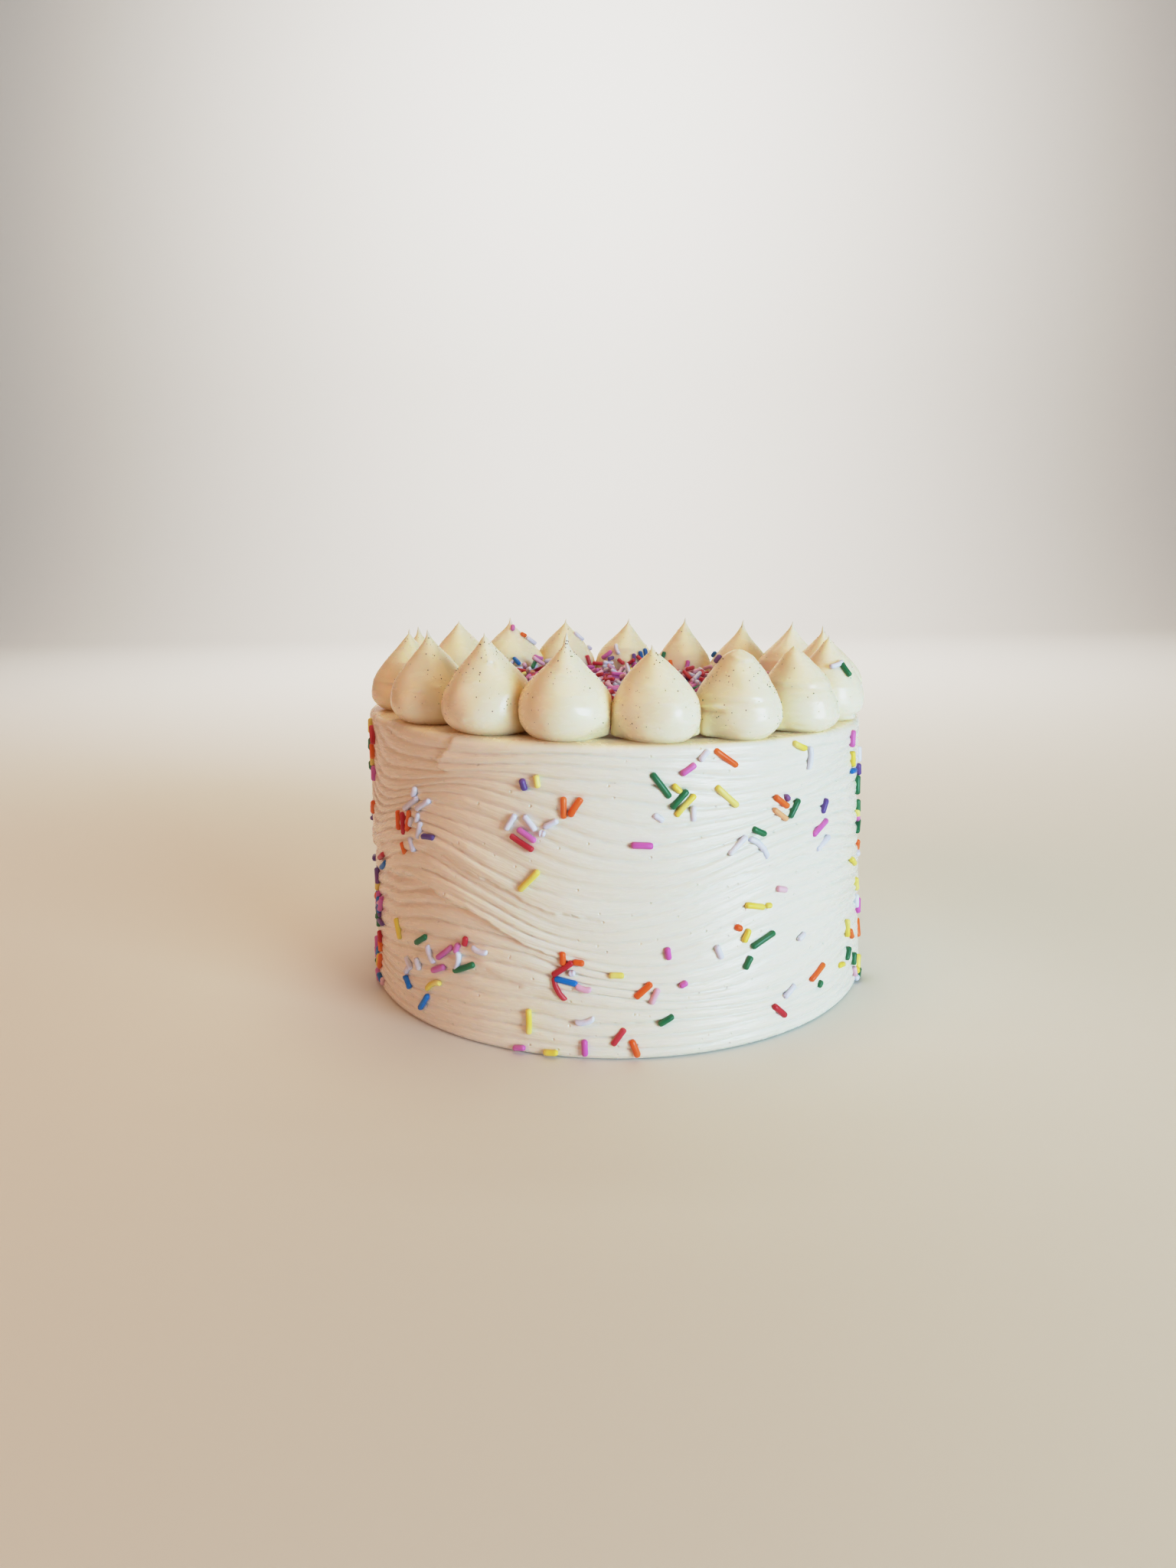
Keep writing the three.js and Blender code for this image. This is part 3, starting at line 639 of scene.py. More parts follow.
def row_places():
    """For every row: the level on the side, the inset from it and the height over the level."""
    quarter = [math.pi / 2 * i / EDGE_ROWS for i in range(1, EDGE_ROWS)]
    low, high = BASE_EDGE, CAKE_HEIGHT - RIM_ROUNDING
    under = [(0, BASE_EDGE + (BASE_RADIUS - BASE_EDGE) * (1 - i / UNDER_ROWS), 0)
             for i in range(UNDER_ROWS + 1)]
    base = [(0, BASE_EDGE * (1 - math.sin(a)), BASE_EDGE * (1 - math.cos(a))) for a in quarter]
    side = [(low + (high - low) * i / SIDE_ROWS, 0, 0) for i in range(SIDE_ROWS + 1)]
    rim = [(high, RIM_ROUNDING * (1 - math.cos(a)), RIM_ROUNDING * math.sin(a)) for a in quarter]
    inwards = [(TOP_RADIUS - RIM_ROUNDING) * (i / TOP_ROWS) ** TOP_CROWDING
               for i in range(TOP_ROWS + 1)]
    top = [(high, RIM_ROUNDING + inset, RIM_ROUNDING) for inset in inwards]
    return np.array(under + base + side + rim + top)


def icing_points(azimuth, level, inset, lift):
    """Places in millimetres of points on the skin of the icing."""
    reach = radius_at(level) - inset
    z = ridge_height(azimuth, level) + lift
    z = z + top_rise(reach * np.sin(azimuth)) * (level / CAKE_HEIGHT) ** 2
    edge = np.clip(level / RIDGE_PITCH, 0, 1) * np.clip((CAKE_HEIGHT - level) / RIM_ROUNDING, 0, 1)
    fade = edge * np.clip(1 - inset / RIM_ROUNDING, 0, 1)
    ridges = ridges_left(azimuth, level) * comb_relief(azimuth, level)
    relief = hand_waves(BULGES, azimuth, z) + seam_relief(azimuth, level) + ridges
    radius = np.maximum(radius_at(z) + fade * relief - inset, 0)
    return np.stack([radius * np.sin(azimuth), -radius * np.cos(azimuth), z], axis=-1)


rows = row_places()
icing = bmesh.new()
bmesh.ops.create_grid(icing, x_segments=COLUMNS, y_segments=len(rows) - 1, size=1)
flat = np.array([v.co for v in icing.verts])
row_of = np.round((flat[:, 1] + 1) / 2 * (len(rows) - 1)).astype(int)
azimuths = math.pi * flat[:, 0] - FINER_IN_FRONT * np.sin(math.pi * flat[:, 0])
level, inset, lift = rows[row_of].T
places = icing_points(azimuths, level, inset, lift)
print("icing grid:", len(flat), "points,", len(rows), "rows")

# %% [markdown]
# The grid's two long edges meet at the back and its short ends close on the axis, so merging
# doubles turns it into one closed skin. Each vertex also keeps the place that it had before the
# ridges moved it, with its level as the height, so that streaks in the material follow the comb.

# %% Icing piece
STREAK_SQUEEZE = 9  # how much longer a streak is than it is wide
# Painted shade on the top: how much all over, how much more at the feet of kisses, how far that
# reaches
LEDGE_PAINTED_SHADE, FOOT_PAINTED_SHADE, FOOT_REACH = 0.2, 0.55, 3
LEDGE_FROM = 1  # how far up the rounding of the rim the ledge starts
GRAIN_FADE = 3  # the height over which the grain sets in
MERGE_DISTANCE = 0.001


def ledge_painted_shade(places):
    """Painted shade on the top, most near the feet of the kisses, for shade and light through cream.
    """
    painted_shade = np.zeros(len(places))
    for kiss in KISSES:
        x, y = ring_place(kiss)
        away = np.hypot(places[:, 0] - (RING_SHIFT + x), places[:, 1] - y) - KISS_FOOT * kiss.radius
        near = FOOT_PAINTED_SHADE * np.exp(-np.maximum(away, 0) / FOOT_REACH)
        painted_shade = np.maximum(painted_shade, LEDGE_PAINTED_SHADE + near)
    return painted_shade


streak_place = icing.verts.layers.float_vector.new("streak_place")
# A mask of painted shade on the top, which the material turns into a deeper tone
painted_shade_layer = icing.verts.layers.float.new("painted_shade")
on_ledge = np.clip((lift - LEDGE_FROM) / (RIM_ROUNDING - LEDGE_FROM), 0, 1)
painted_shades = ledge_painted_shade(places) * on_ledge
side_share = np.clip(1 - inset / RIM_ROUNDING, 0, 1) * np.clip(level / GRAIN_FADE, 0, 1)
for vert, place, its_level, painted_shade, its_share in zip(
    icing.verts, places, level, painted_shades, side_share
):
    grain = its_share * cream_grain(place, its_level)
    outward = np.array((place[0], place[1], 0)) / max(np.hypot(place[0], place[1]), 1)
    vert.co = place + grain * outward
    vert[streak_place] = (place[0] * MM, place[1] * MM, STREAK_SQUEEZE * its_level * MM)
    vert[painted_shade_layer] = painted_shade
bmesh.ops.remove_doubles(icing, verts=icing.verts, dist=MERGE_DISTANCE)
bmesh.ops.recalc_face_normals(icing, faces=icing.faces)
finish_piece("combed_icing", icing, combed_cream, "buttercream", ["frosted_cake"])

# %% [markdown]
# ## The kisses
#
# A kiss is piped through a large round tip held straight up: the cream spreads into a bulb, and
# when the bag is lifted it breaks off in a point. Each is a turned shape, so its half profile is
# spun round its own axis. The vertices are then moved, because no two real ones are alike: they
# lean, their points sway, and each is pressed flat where it meets its neighbours. Two at the
# front right have lost their points.

# %% Kiss shape
KISS_SINK = 0.3  # how deep a kiss sits in the icing on top
KISS_OVERLAP = 0.2  # by which two kisses are pressed into each other
TIP_RADIUS, TIP_TAPER, TIP_FULLNESS = 1.1, 5, 0.8  # of the drawn-out point
BLUNT_ROUNDING = 2.5  # height over which a kiss without its point is rounded off
OVAL, THREE_SIDED = 0.02, 0.015  # shares by which a kiss isn't round
WEB_HEIGHT, WEB_TURN = 7, 8  # how high and how far round the feet of two kisses run together
WEB_FOOT = 1.2  # height over which they start to
MEET_ROUNDING = 0.6  # over which a kiss turns flat where it meets the next


def kiss_radius(kiss, z):
    """Radius of a kiss at a height, as its bulb gives it and as its drawn-out tip does."""
    t = np.minimum(1, z / (kiss.height - kiss.tip))
    down = np.clip((kiss.waist - t) / kiss.waist, 0, 1)
    up = np.clip((t - kiss.waist) / (1 - kiss.waist), 0, 1)
    bulb = kiss.radius * np.where(
        t < kiss.waist,
        np.sqrt(1 - (1 - KISS_FOOT**2) * down**2),
        np.maximum(np.cos(up * math.pi / 2), 0) ** kiss.slender,
    )
    below_top = kiss.height - z
    if kiss.tip < 0:
        bulb = bulb * np.sqrt(1 - np.clip(1 - below_top / BLUNT_ROUNDING, 0, 1) ** 2)
    point = TIP_RADIUS * np.clip(below_top / TIP_TAPER, 0, 1) ** TIP_FULLNESS
    return np.sqrt(bulb**2 + (point * np.clip(2 * t - 1, 0, 1)) ** 2)


def meet(side, limit, turn, z):
    """Spreads the foot of a kiss against its neighbour, and flattens what would reach past it."""
    off = degrees_between(90, np.degrees(turn)) / WEB_TURN
    risen = 1 - np.exp(-((z / WEB_FOOT) ** 2))
    web = risen * np.exp(-(off**2) - (z / WEB_HEIGHT) ** 4)
    side = side + web * np.maximum(limit - side, 0)
    flat_from = limit - MEET_ROUNDING
    over = np.maximum(side - flat_from, 0)
    return np.where(side > flat_from, limit - MEET_ROUNDING * np.exp(-over / MEET_ROUNDING), side)


def kiss_point(index, turn, z):
    """Place of a point on a kiss, by its turn round the kiss from the outer side, and height."""
    kiss = KISSES[index]
    rise = z / kiss.height
    uneven = 1 + OVAL * np.sin(2 * turn + index) + THREE_SIDED * np.sin(3 * turn + 2 * index)
    radius = kiss_radius(kiss, z) * uneven
    out = KISS_RING_RADIUS + radius * np.cos(turn) - kiss.lean * rise**3
    side = radius * np.sin(turn) + kiss.sway * rise**3
    to_next = degrees_between(kiss.azimuth, KISSES[(index + 1) % len(KISSES)].azimuth)
    limit = KISS_OVERLAP + out * math.tan(math.radians(to_next / 2))
    side = meet(side, limit, turn, z)
    to_last = degrees_between(KISSES[index - 1].azimuth, kiss.azimuth)
    limit = KISS_OVERLAP + out * math.tan(math.radians(to_last / 2))
    side = -meet(-side, limit, -turn, z)
    bearing = math.radians(kiss.azimuth)
    x = RING_SHIFT + side * math.cos(bearing) + out * math.sin(bearing)
    y = side * math.sin(bearing) - out * math.cos(bearing)
    return np.stack([x, y, CAKE_HEIGHT + top_rise(x) - KISS_SINK + z], axis=-1)


def axis_point(index, z):
    """Place on the axis of a kiss, which leans in and sways near its tip."""
    opposite = [Vector(kiss_point(index, turn, z)) for turn in (0, math.pi)]
    return (opposite[0] + opposite[1]) / 2


print("the foot of the first kiss is", round(2 * float(kiss_radius(KISSES[0], 0)), 1), "mm wide")

# %% [markdown]
# Smooth turned shapes would look like plastic. Cream comes out of the bag unevenly, so noise
# makes slow dents, rings and a fine grain, and the dents, lumps and folds that stand out on
# single kisses are listed one by one. Folds also get a mask of painted shade, a deeper, warmer
# tone for the shade in them and for light that has crossed more cream and comes out warmer.

# %% Kiss surface
# How wide and how deep the unevenness is: slow, in rings round the kiss, and fine
SLOW_SIZE, RINGED_WIDTH, RINGED_HEIGHT, FINE_SIZE = 7.5, 16, 2.6, 1.7
SLOW_RELIEF, RINGED_RELIEF, FINE_RELIEF = 0.5, 0.1, 0.04
KISS_SHIFT = 31.7  # how far apart two kisses lie in the noise, so that they differ
# Painted shade on a kiss: how much at its foot and beside a neighbour, and how far each reaches
FOOT_FOLD_SHADE, FOOT_FOLD_SHADE_REACH = 0.5, 1.2
SIDE_FOLD_SHADE, SIDE_FOLD_SHADE_REACH = 0.9, 1.8
MARK_ENDS = 3  # how many of its reaches up or down a mark still shows

# Dents, lumps and folds on single kisses: kiss counted from 0, turn from its outer side in
# degrees, height, reach across, reach up and depth, which is negative for a dent
KISS_MARKS = [
    (16, -22, 5, 1.2, 0.8, -0.5), (16, 65, 1.5, 5, 2.6, -1.3), (16, 10, 14, 9, 0.7, 0.22),
    (16, 22, 19.5, 5, 0.6, 0.2), (16, -14, 21, 2, 0.8, -0.35),
    (0, -54, 4, 0.8, 0.7, -0.5), (0, -30, 17, 5, 0.7, 0.3), (0, -18, 12.5, 9, 0.7, 0.2),
    (0, 40, 6.5, 3, 1, 0.5),
    (15, 52, 21.3, 0.9, 0.9, -0.8), (15, 45, 22.4, 1.2, 0.8, 0.4), (15, 3, 5.3, 1.1, 0.9, 0.5),
    (15, 8, 4.2, 1, 0.5, -0.4), (15, 16, 15.9, 2.5, 0.5, 0.35), (15, 74, 16, 4, 3, 0.9),
    (1, -74, 10.4, 4.6, 0.8, 1), (1, -80, 8.7, 3.6, 0.8, -1.1), (1, -62, 9.2, 1.6, 0.7, -0.7),
    (1, -66, 10.8, 1.2, 0.6, 0.7), (1, -88, 9.9, 1.4, 0.6, 0.6), (1, -40, 12, 10, 0.9, -0.4),
    (1, -38, 13.6, 10, 1.1, 0.4), (1, -20, 24, 2.4, 0.8, 0.5), (1, -55, 25, 1.6, 0.8, 0.5),
    (2, -64, 15.8, 14, 0.9, 0.45), (2, -60, 14, 14, 0.9, -0.4), (2, -57, 2.9, 1.6, 0.5, -0.6),
    (2, -60, 2, 2, 0.4, 0.4),
    (3, -10, 2.4, 5, 0.7, -1), (3, -12, 1.1, 5, 0.6, 0.5), (3, -70, 12, 9, 0.9, 0.3),
    (14, 36, 11.7, 2, 0.5, 0.4), (14, 67, 12.6, 1.2, 0.5, 0.4), (14, 40, 10.6, 2.5, 0.5, -0.3),
    (13, 60, 11, 9, 0.7, 0.4), (13, 62, 9.5, 8, 0.6, -0.3), (13, 60, 17, 5, 0.6, 0.3),
    (11, 70, 18, 2, 1, 0.4), (5, 200, 15, 8, 0.9, 0.35), (8, 170, 16, 9, 0.9, 0.3),
]


def kiss_unevenness(place, index):
    """Dents and swellings where the cream came out of the bag unevenly."""
    shift = Vector((0, 0, KISS_SHIFT * index))
    squeezed = (place.x / RINGED_WIDTH, place.y / RINGED_WIDTH, place.z / RINGED_HEIGHT)
    slow = noise.noise((place + shift) / SLOW_SIZE)
    ringed = noise.noise(Vector(squeezed) + shift)
    fine = noise.noise((place + shift) / FINE_SIZE)
    return SLOW_RELIEF * slow + RINGED_RELIEF * ringed + FINE_RELIEF * fine


def mark_relief(index, turn, z):
    """Depth of the dents, lumps and folds that are listed one by one."""
    relief = 0
    for kiss, mark_turn, height, across, up, depth in KISS_MARKS:
        if kiss == index and abs(z - height) < MARK_ENDS * up:
            arc = math.radians(float(degrees_between(mark_turn, math.degrees(turn))))
            arc *= float(kiss_radius(KISSES[index], z))
            relief += depth * math.exp(-((arc / across) ** 2) - ((z - height) / up) ** 2)
    return relief


def kiss_painted_shade(index, place, z):
    """Painted shade: how deep a point lies in the folds round the foot and between two kisses."""
    nearest = min(
        (place - axis_point(other % len(KISSES), z)).xy.length - KISSES[other % len(KISSES)].radius
        for other in (index - 1, index + 1)
    )
    at_foot = FOOT_FOLD_SHADE * math.exp(-z / FOOT_FOLD_SHADE_REACH)
    return min(1.0, at_foot + SIDE_FOLD_SHADE * math.exp(-max(nearest, 0) / SIDE_FOLD_SHADE_REACH))


print(len(KISS_MARKS), "marks on single kisses")

# %% Kiss pieces
KISS_RINGS, KISS_STEPS = 70, 72
TIP_CROWDING = 1.25  # how the rings crowd towards the tip
LEAST_RADIUS, ON_AXIS = 0.05, 0.02
SMOOTH_BELOW, SMOOTH_ABOVE = 0.5, 1.5  # how much of the foot and of the tip stays smooth
KISS_SQUEEZE = 2  # how much longer a streak on a kiss is than it is wide
SPIN_MERGE = 0.002


def spin_profile(bm, points, steps):
    """Spins a half profile round the upright axis into a closed skin."""
    profile = [bm.verts.new(point) for point in points]
    edges = [bm.edges.new(pair) for pair in zip(profile, profile[1:])]
    bmesh.ops.spin(
        bm, geom=profile + edges, cent=(0, 0, 0), axis=(0, 0, 1), angle=FULL_TURN, steps=steps,
        use_merge=True,
    )
    bmesh.ops.remove_doubles(bm, verts=bm.verts, dist=SPIN_MERGE)


def kiss_profile(kiss):
    """Half profile of a kiss, from the middle of its foot to its tip."""
    rings = [1 - (1 - i / KISS_RINGS) ** TIP_CROWDING for i in range(KISS_RINGS + 1)]
    heights = [kiss.height * ring for ring in rings]
    bulb = [(max(float(kiss_radius(kiss, z)), LEAST_RADIUS), 0, z) for z in heights]
    return [(0, 0, 0), *bulb, (0, 0, kiss.height)]


def spun_kiss(index):
    """A half profile spun round the kiss's axis, then moved out to its place on the ring."""
    kiss = KISSES[index]
    bm = bmesh.new()
    streak_place = bm.verts.layers.float_vector.new("streak_place")
    painted_shade_layer = bm.verts.layers.float.new("painted_shade")
    spin_profile(bm, kiss_profile(kiss), KISS_STEPS)
    for vert in bm.verts:
        turn = math.atan2(vert.co.x, vert.co.y)
        on_axis = vert.co.xy.length < ON_AXIS
        z = vert.co.z
        place = axis_point(index, z) if on_axis else Vector(kiss_point(index, turn, z))
        if not on_axis and SMOOTH_BELOW < z < kiss.height - SMOOTH_ABOVE:
            away = (place - axis_point(index, z)).normalized()
            place += away * (kiss_unevenness(place, index) + mark_relief(index, turn, z))
        vert.co = place
        vert[streak_place] = (place.x * MM, place.y * MM, KISS_SQUEEZE * place.z * MM)
        # The mask of painted shade, for the deeper tone in folds
        vert[painted_shade_layer] = kiss_painted_shade(index, place, z)
    bmesh.ops.recalc_face_normals(bm, faces=bm.faces)
    return bm


for index in range(len(KISSES)):
    name = f"kiss_{index + 1:02d}"
    finish_piece("piped_" + name, spun_kiss(index), piped_cream, "piped_cream", [name])

# %% [markdown]
# ## Sugar sprinkles
#
# A sprinkle is a strand of sugar paste cut into lengths of a few millimetres, with blunt,
# slightly rounded ends. Some are bent. The colour goes right through, and the surface is waxy.
# Hundreds are needed, so each has only a few dozen faces: a coarse ball whose rings are moved
# apart. All sprinkles of one colour are joined in one mesh, made from arrays of places.

# %% Sprinkle shape
SPRINKLE_RADIUS = 1
LONG_SPRINKLE, SHORT_SPRINKLE, LENGTH_SPREAD = 5.4, 2.2, 2.8
BALL_RINGS, BALL_STEPS = 7, 8
RING_GIRTH = (0, 0.74, 1, 0.98, 0.98, 1, 0.74, 0)  # radius of each ring, as a share
POLE = 0.01  # a vertex closer to the ball's axis than this is one of its poles
END_ROUNDING, END_LENGTH = 0.22, 0.7  # from the end to the first two rings, in radii
BEND_SEAT = 0.35  # how far the bend is set back, so that a bent one stays over its middle


def sprinkle_template():
    """Rank, girth and direction of every vertex of a sprinkle, and its faces."""
    bm = bmesh.new()
    bmesh.ops.create_uvsphere(bm, u_segments=BALL_STEPS, v_segments=BALL_RINGS, radius=1)
    bm.verts.index_update()
    points = np.array([v.co for v in bm.verts])
    faces = [[v.index for v in face.verts] for face in bm.faces]
    bm.free()
    latitude = np.arcsin(np.clip(points[:, 2], -1, 1))
    rank = np.round((latitude / math.pi + 0.5) * BALL_RINGS).astype(int)
    across = np.hypot(points[:, 0], points[:, 1])
    around = points[:, :2] / np.maximum(across, POLE)[:, None] * (across > POLE)[:, None]
    return rank, around, faces


RANK, AROUND, SPRINKLE_FACES = sprinkle_template()


def sprinkle_points(length, girth, bend):
    """Points of one sprinkle along +X, bent towards +Y."""
    half = length / 2
    radius = SPRINKLE_RADIUS * girth
    ends = [half, half - END_ROUNDING * radius, half - END_LENGTH * radius]
    stations = np.array([*ends, half / 3])
    along = np.concatenate([-stations, stations[::-1]])[RANK]
    widths = radius * np.array(RING_GIRTH)[RANK]
    curve = bend * ((along / half) ** 2 - BEND_SEAT)
    return np.stack([along, curve + widths * AROUND[:, 0], widths * AROUND[:, 1]], axis=1)


def joined_sprinkles(name, sprinkles, material, slot, nodes):
    """One mesh of many sprinkles, each given by its points in millimetres."""
    points = np.concatenate(sprinkles) * MM
    firsts = range(0, len(points), len(RANK))
    faces = [[first + v for v in face] for first in firsts for face in SPRINKLE_FACES]
    mesh = bpy.data.meshes.new(name)
    mesh.from_pydata(points.tolist(), [], faces)
    finish_mesh(name, mesh, material, slot, nodes)


print("a sprinkle has", len(SPRINKLE_FACES), "faces")

# %% [markdown]
# The colours are the usual ones of a mixed tub. Each is made of two tones that change slowly
# from place to place, so that neighbouring sprinkles differ a little, as in a tub where some
# have faded. A fine bump gives the sugar its grain.

# %% Sugar materials
FADE_SCALE, FADE_FROM, FADE_TO = 150.0, 0.4, 0.72
GRAIN_SCALE, GRAIN_STRENGTH, GRAIN_RELIEF = 1600.0, 0.25, 0.0002
SUGAR_ROUGHNESS, SUGAR_DEPTH, SUGAR_REACH = 0.38, 0.12, 0.0008


def sugar(name, colour, second):
    """Waxy sugar with a fine grain, in two tones that change slowly from place to place."""
    material, tree, shader = new_material(name)
    place = add_node(tree, "ShaderNodeTexCoord").outputs["Object"]
    tone = add_node(tree, "ShaderNodeTexNoise", {"Vector": place}, Scale=FADE_SCALE, Detail=0.0)
    faded = remap(tree, tone.outputs["Fac"], FADE_FROM, FADE_TO)
    tree.links.new(blend(tree, faded, colour, second), shader.inputs["Base Color"])
    grain = add_node(tree, "ShaderNodeTexNoise", {"Vector": place}, Scale=GRAIN_SCALE, Detail=2.0)
    bump = add_node(
        tree, "ShaderNodeBump", {"Height": grain.outputs["Fac"]},
        Strength=GRAIN_STRENGTH, Distance=GRAIN_RELIEF,
    )
    tree.links.new(bump.outputs["Normal"], shader.inputs["Normal"])
    shader.inputs["Roughness"].default_value = SUGAR_ROUGHNESS
    let_light_in(shader, SUGAR_DEPTH, SUGAR_REACH)
    return material


def in_slot(slot, word, colour, second):
    """A sugar's word, the name of its slot and its material."""
    return word, "sugar_" + slot, sugar("sugar_" + word, colour, second)


SUGARS = {
    "W": in_slot("white", "white", (0.72, 0.73, 0.92), (0.78, 0.79, 0.93)),
    "Y": in_slot("yellow", "yellow", (0.86, 0.68, 0.1), (0.87, 0.76, 0.26)),
    "O": in_slot("orange", "orange", (0.86, 0.13, 0.015), (0.87, 0.2, 0.04)),
    "E": in_slot("orange", "faded_orange", (0.84, 0.42, 0.22), (0.84, 0.5, 0.32)),
    "R": in_slot("red", "red", (0.55, 0.02, 0.04), (0.62, 0.05, 0.08)),
    "K": in_slot("pink", "pink", (0.64, 0.13, 0.5), (0.7, 0.22, 0.54)),
    "F": in_slot("pink", "faded_pink", (0.8, 0.46, 0.62), (0.82, 0.56, 0.68)),
    "G": in_slot("green", "green", (0.012, 0.17, 0.07), (0.02, 0.2, 0.07)),
    "B": in_slot("blue", "blue", (0.001, 0.19, 0.64), (0.003, 0.12, 0.46)),
    "P": in_slot("purple", "purple", (0.12, 0.07, 0.32), (0.24, 0.09, 0.3)),
}
print("sugars:", ", ".join(word for word, _, _ in SUGARS.values()))

# %% [markdown]
# ## Sprinkles on the side
#
# They were thrown by hand, so they lie in loose clusters with bare icing between. Those that
# face the front are listed one by one: azimuth, height, tilt from level, length and colour. A
# small letter marks a bent one, whose ends point to the left of its direction. Those on the
# other sides come in clumps from a seeded stream of draws, the same that made the solid.

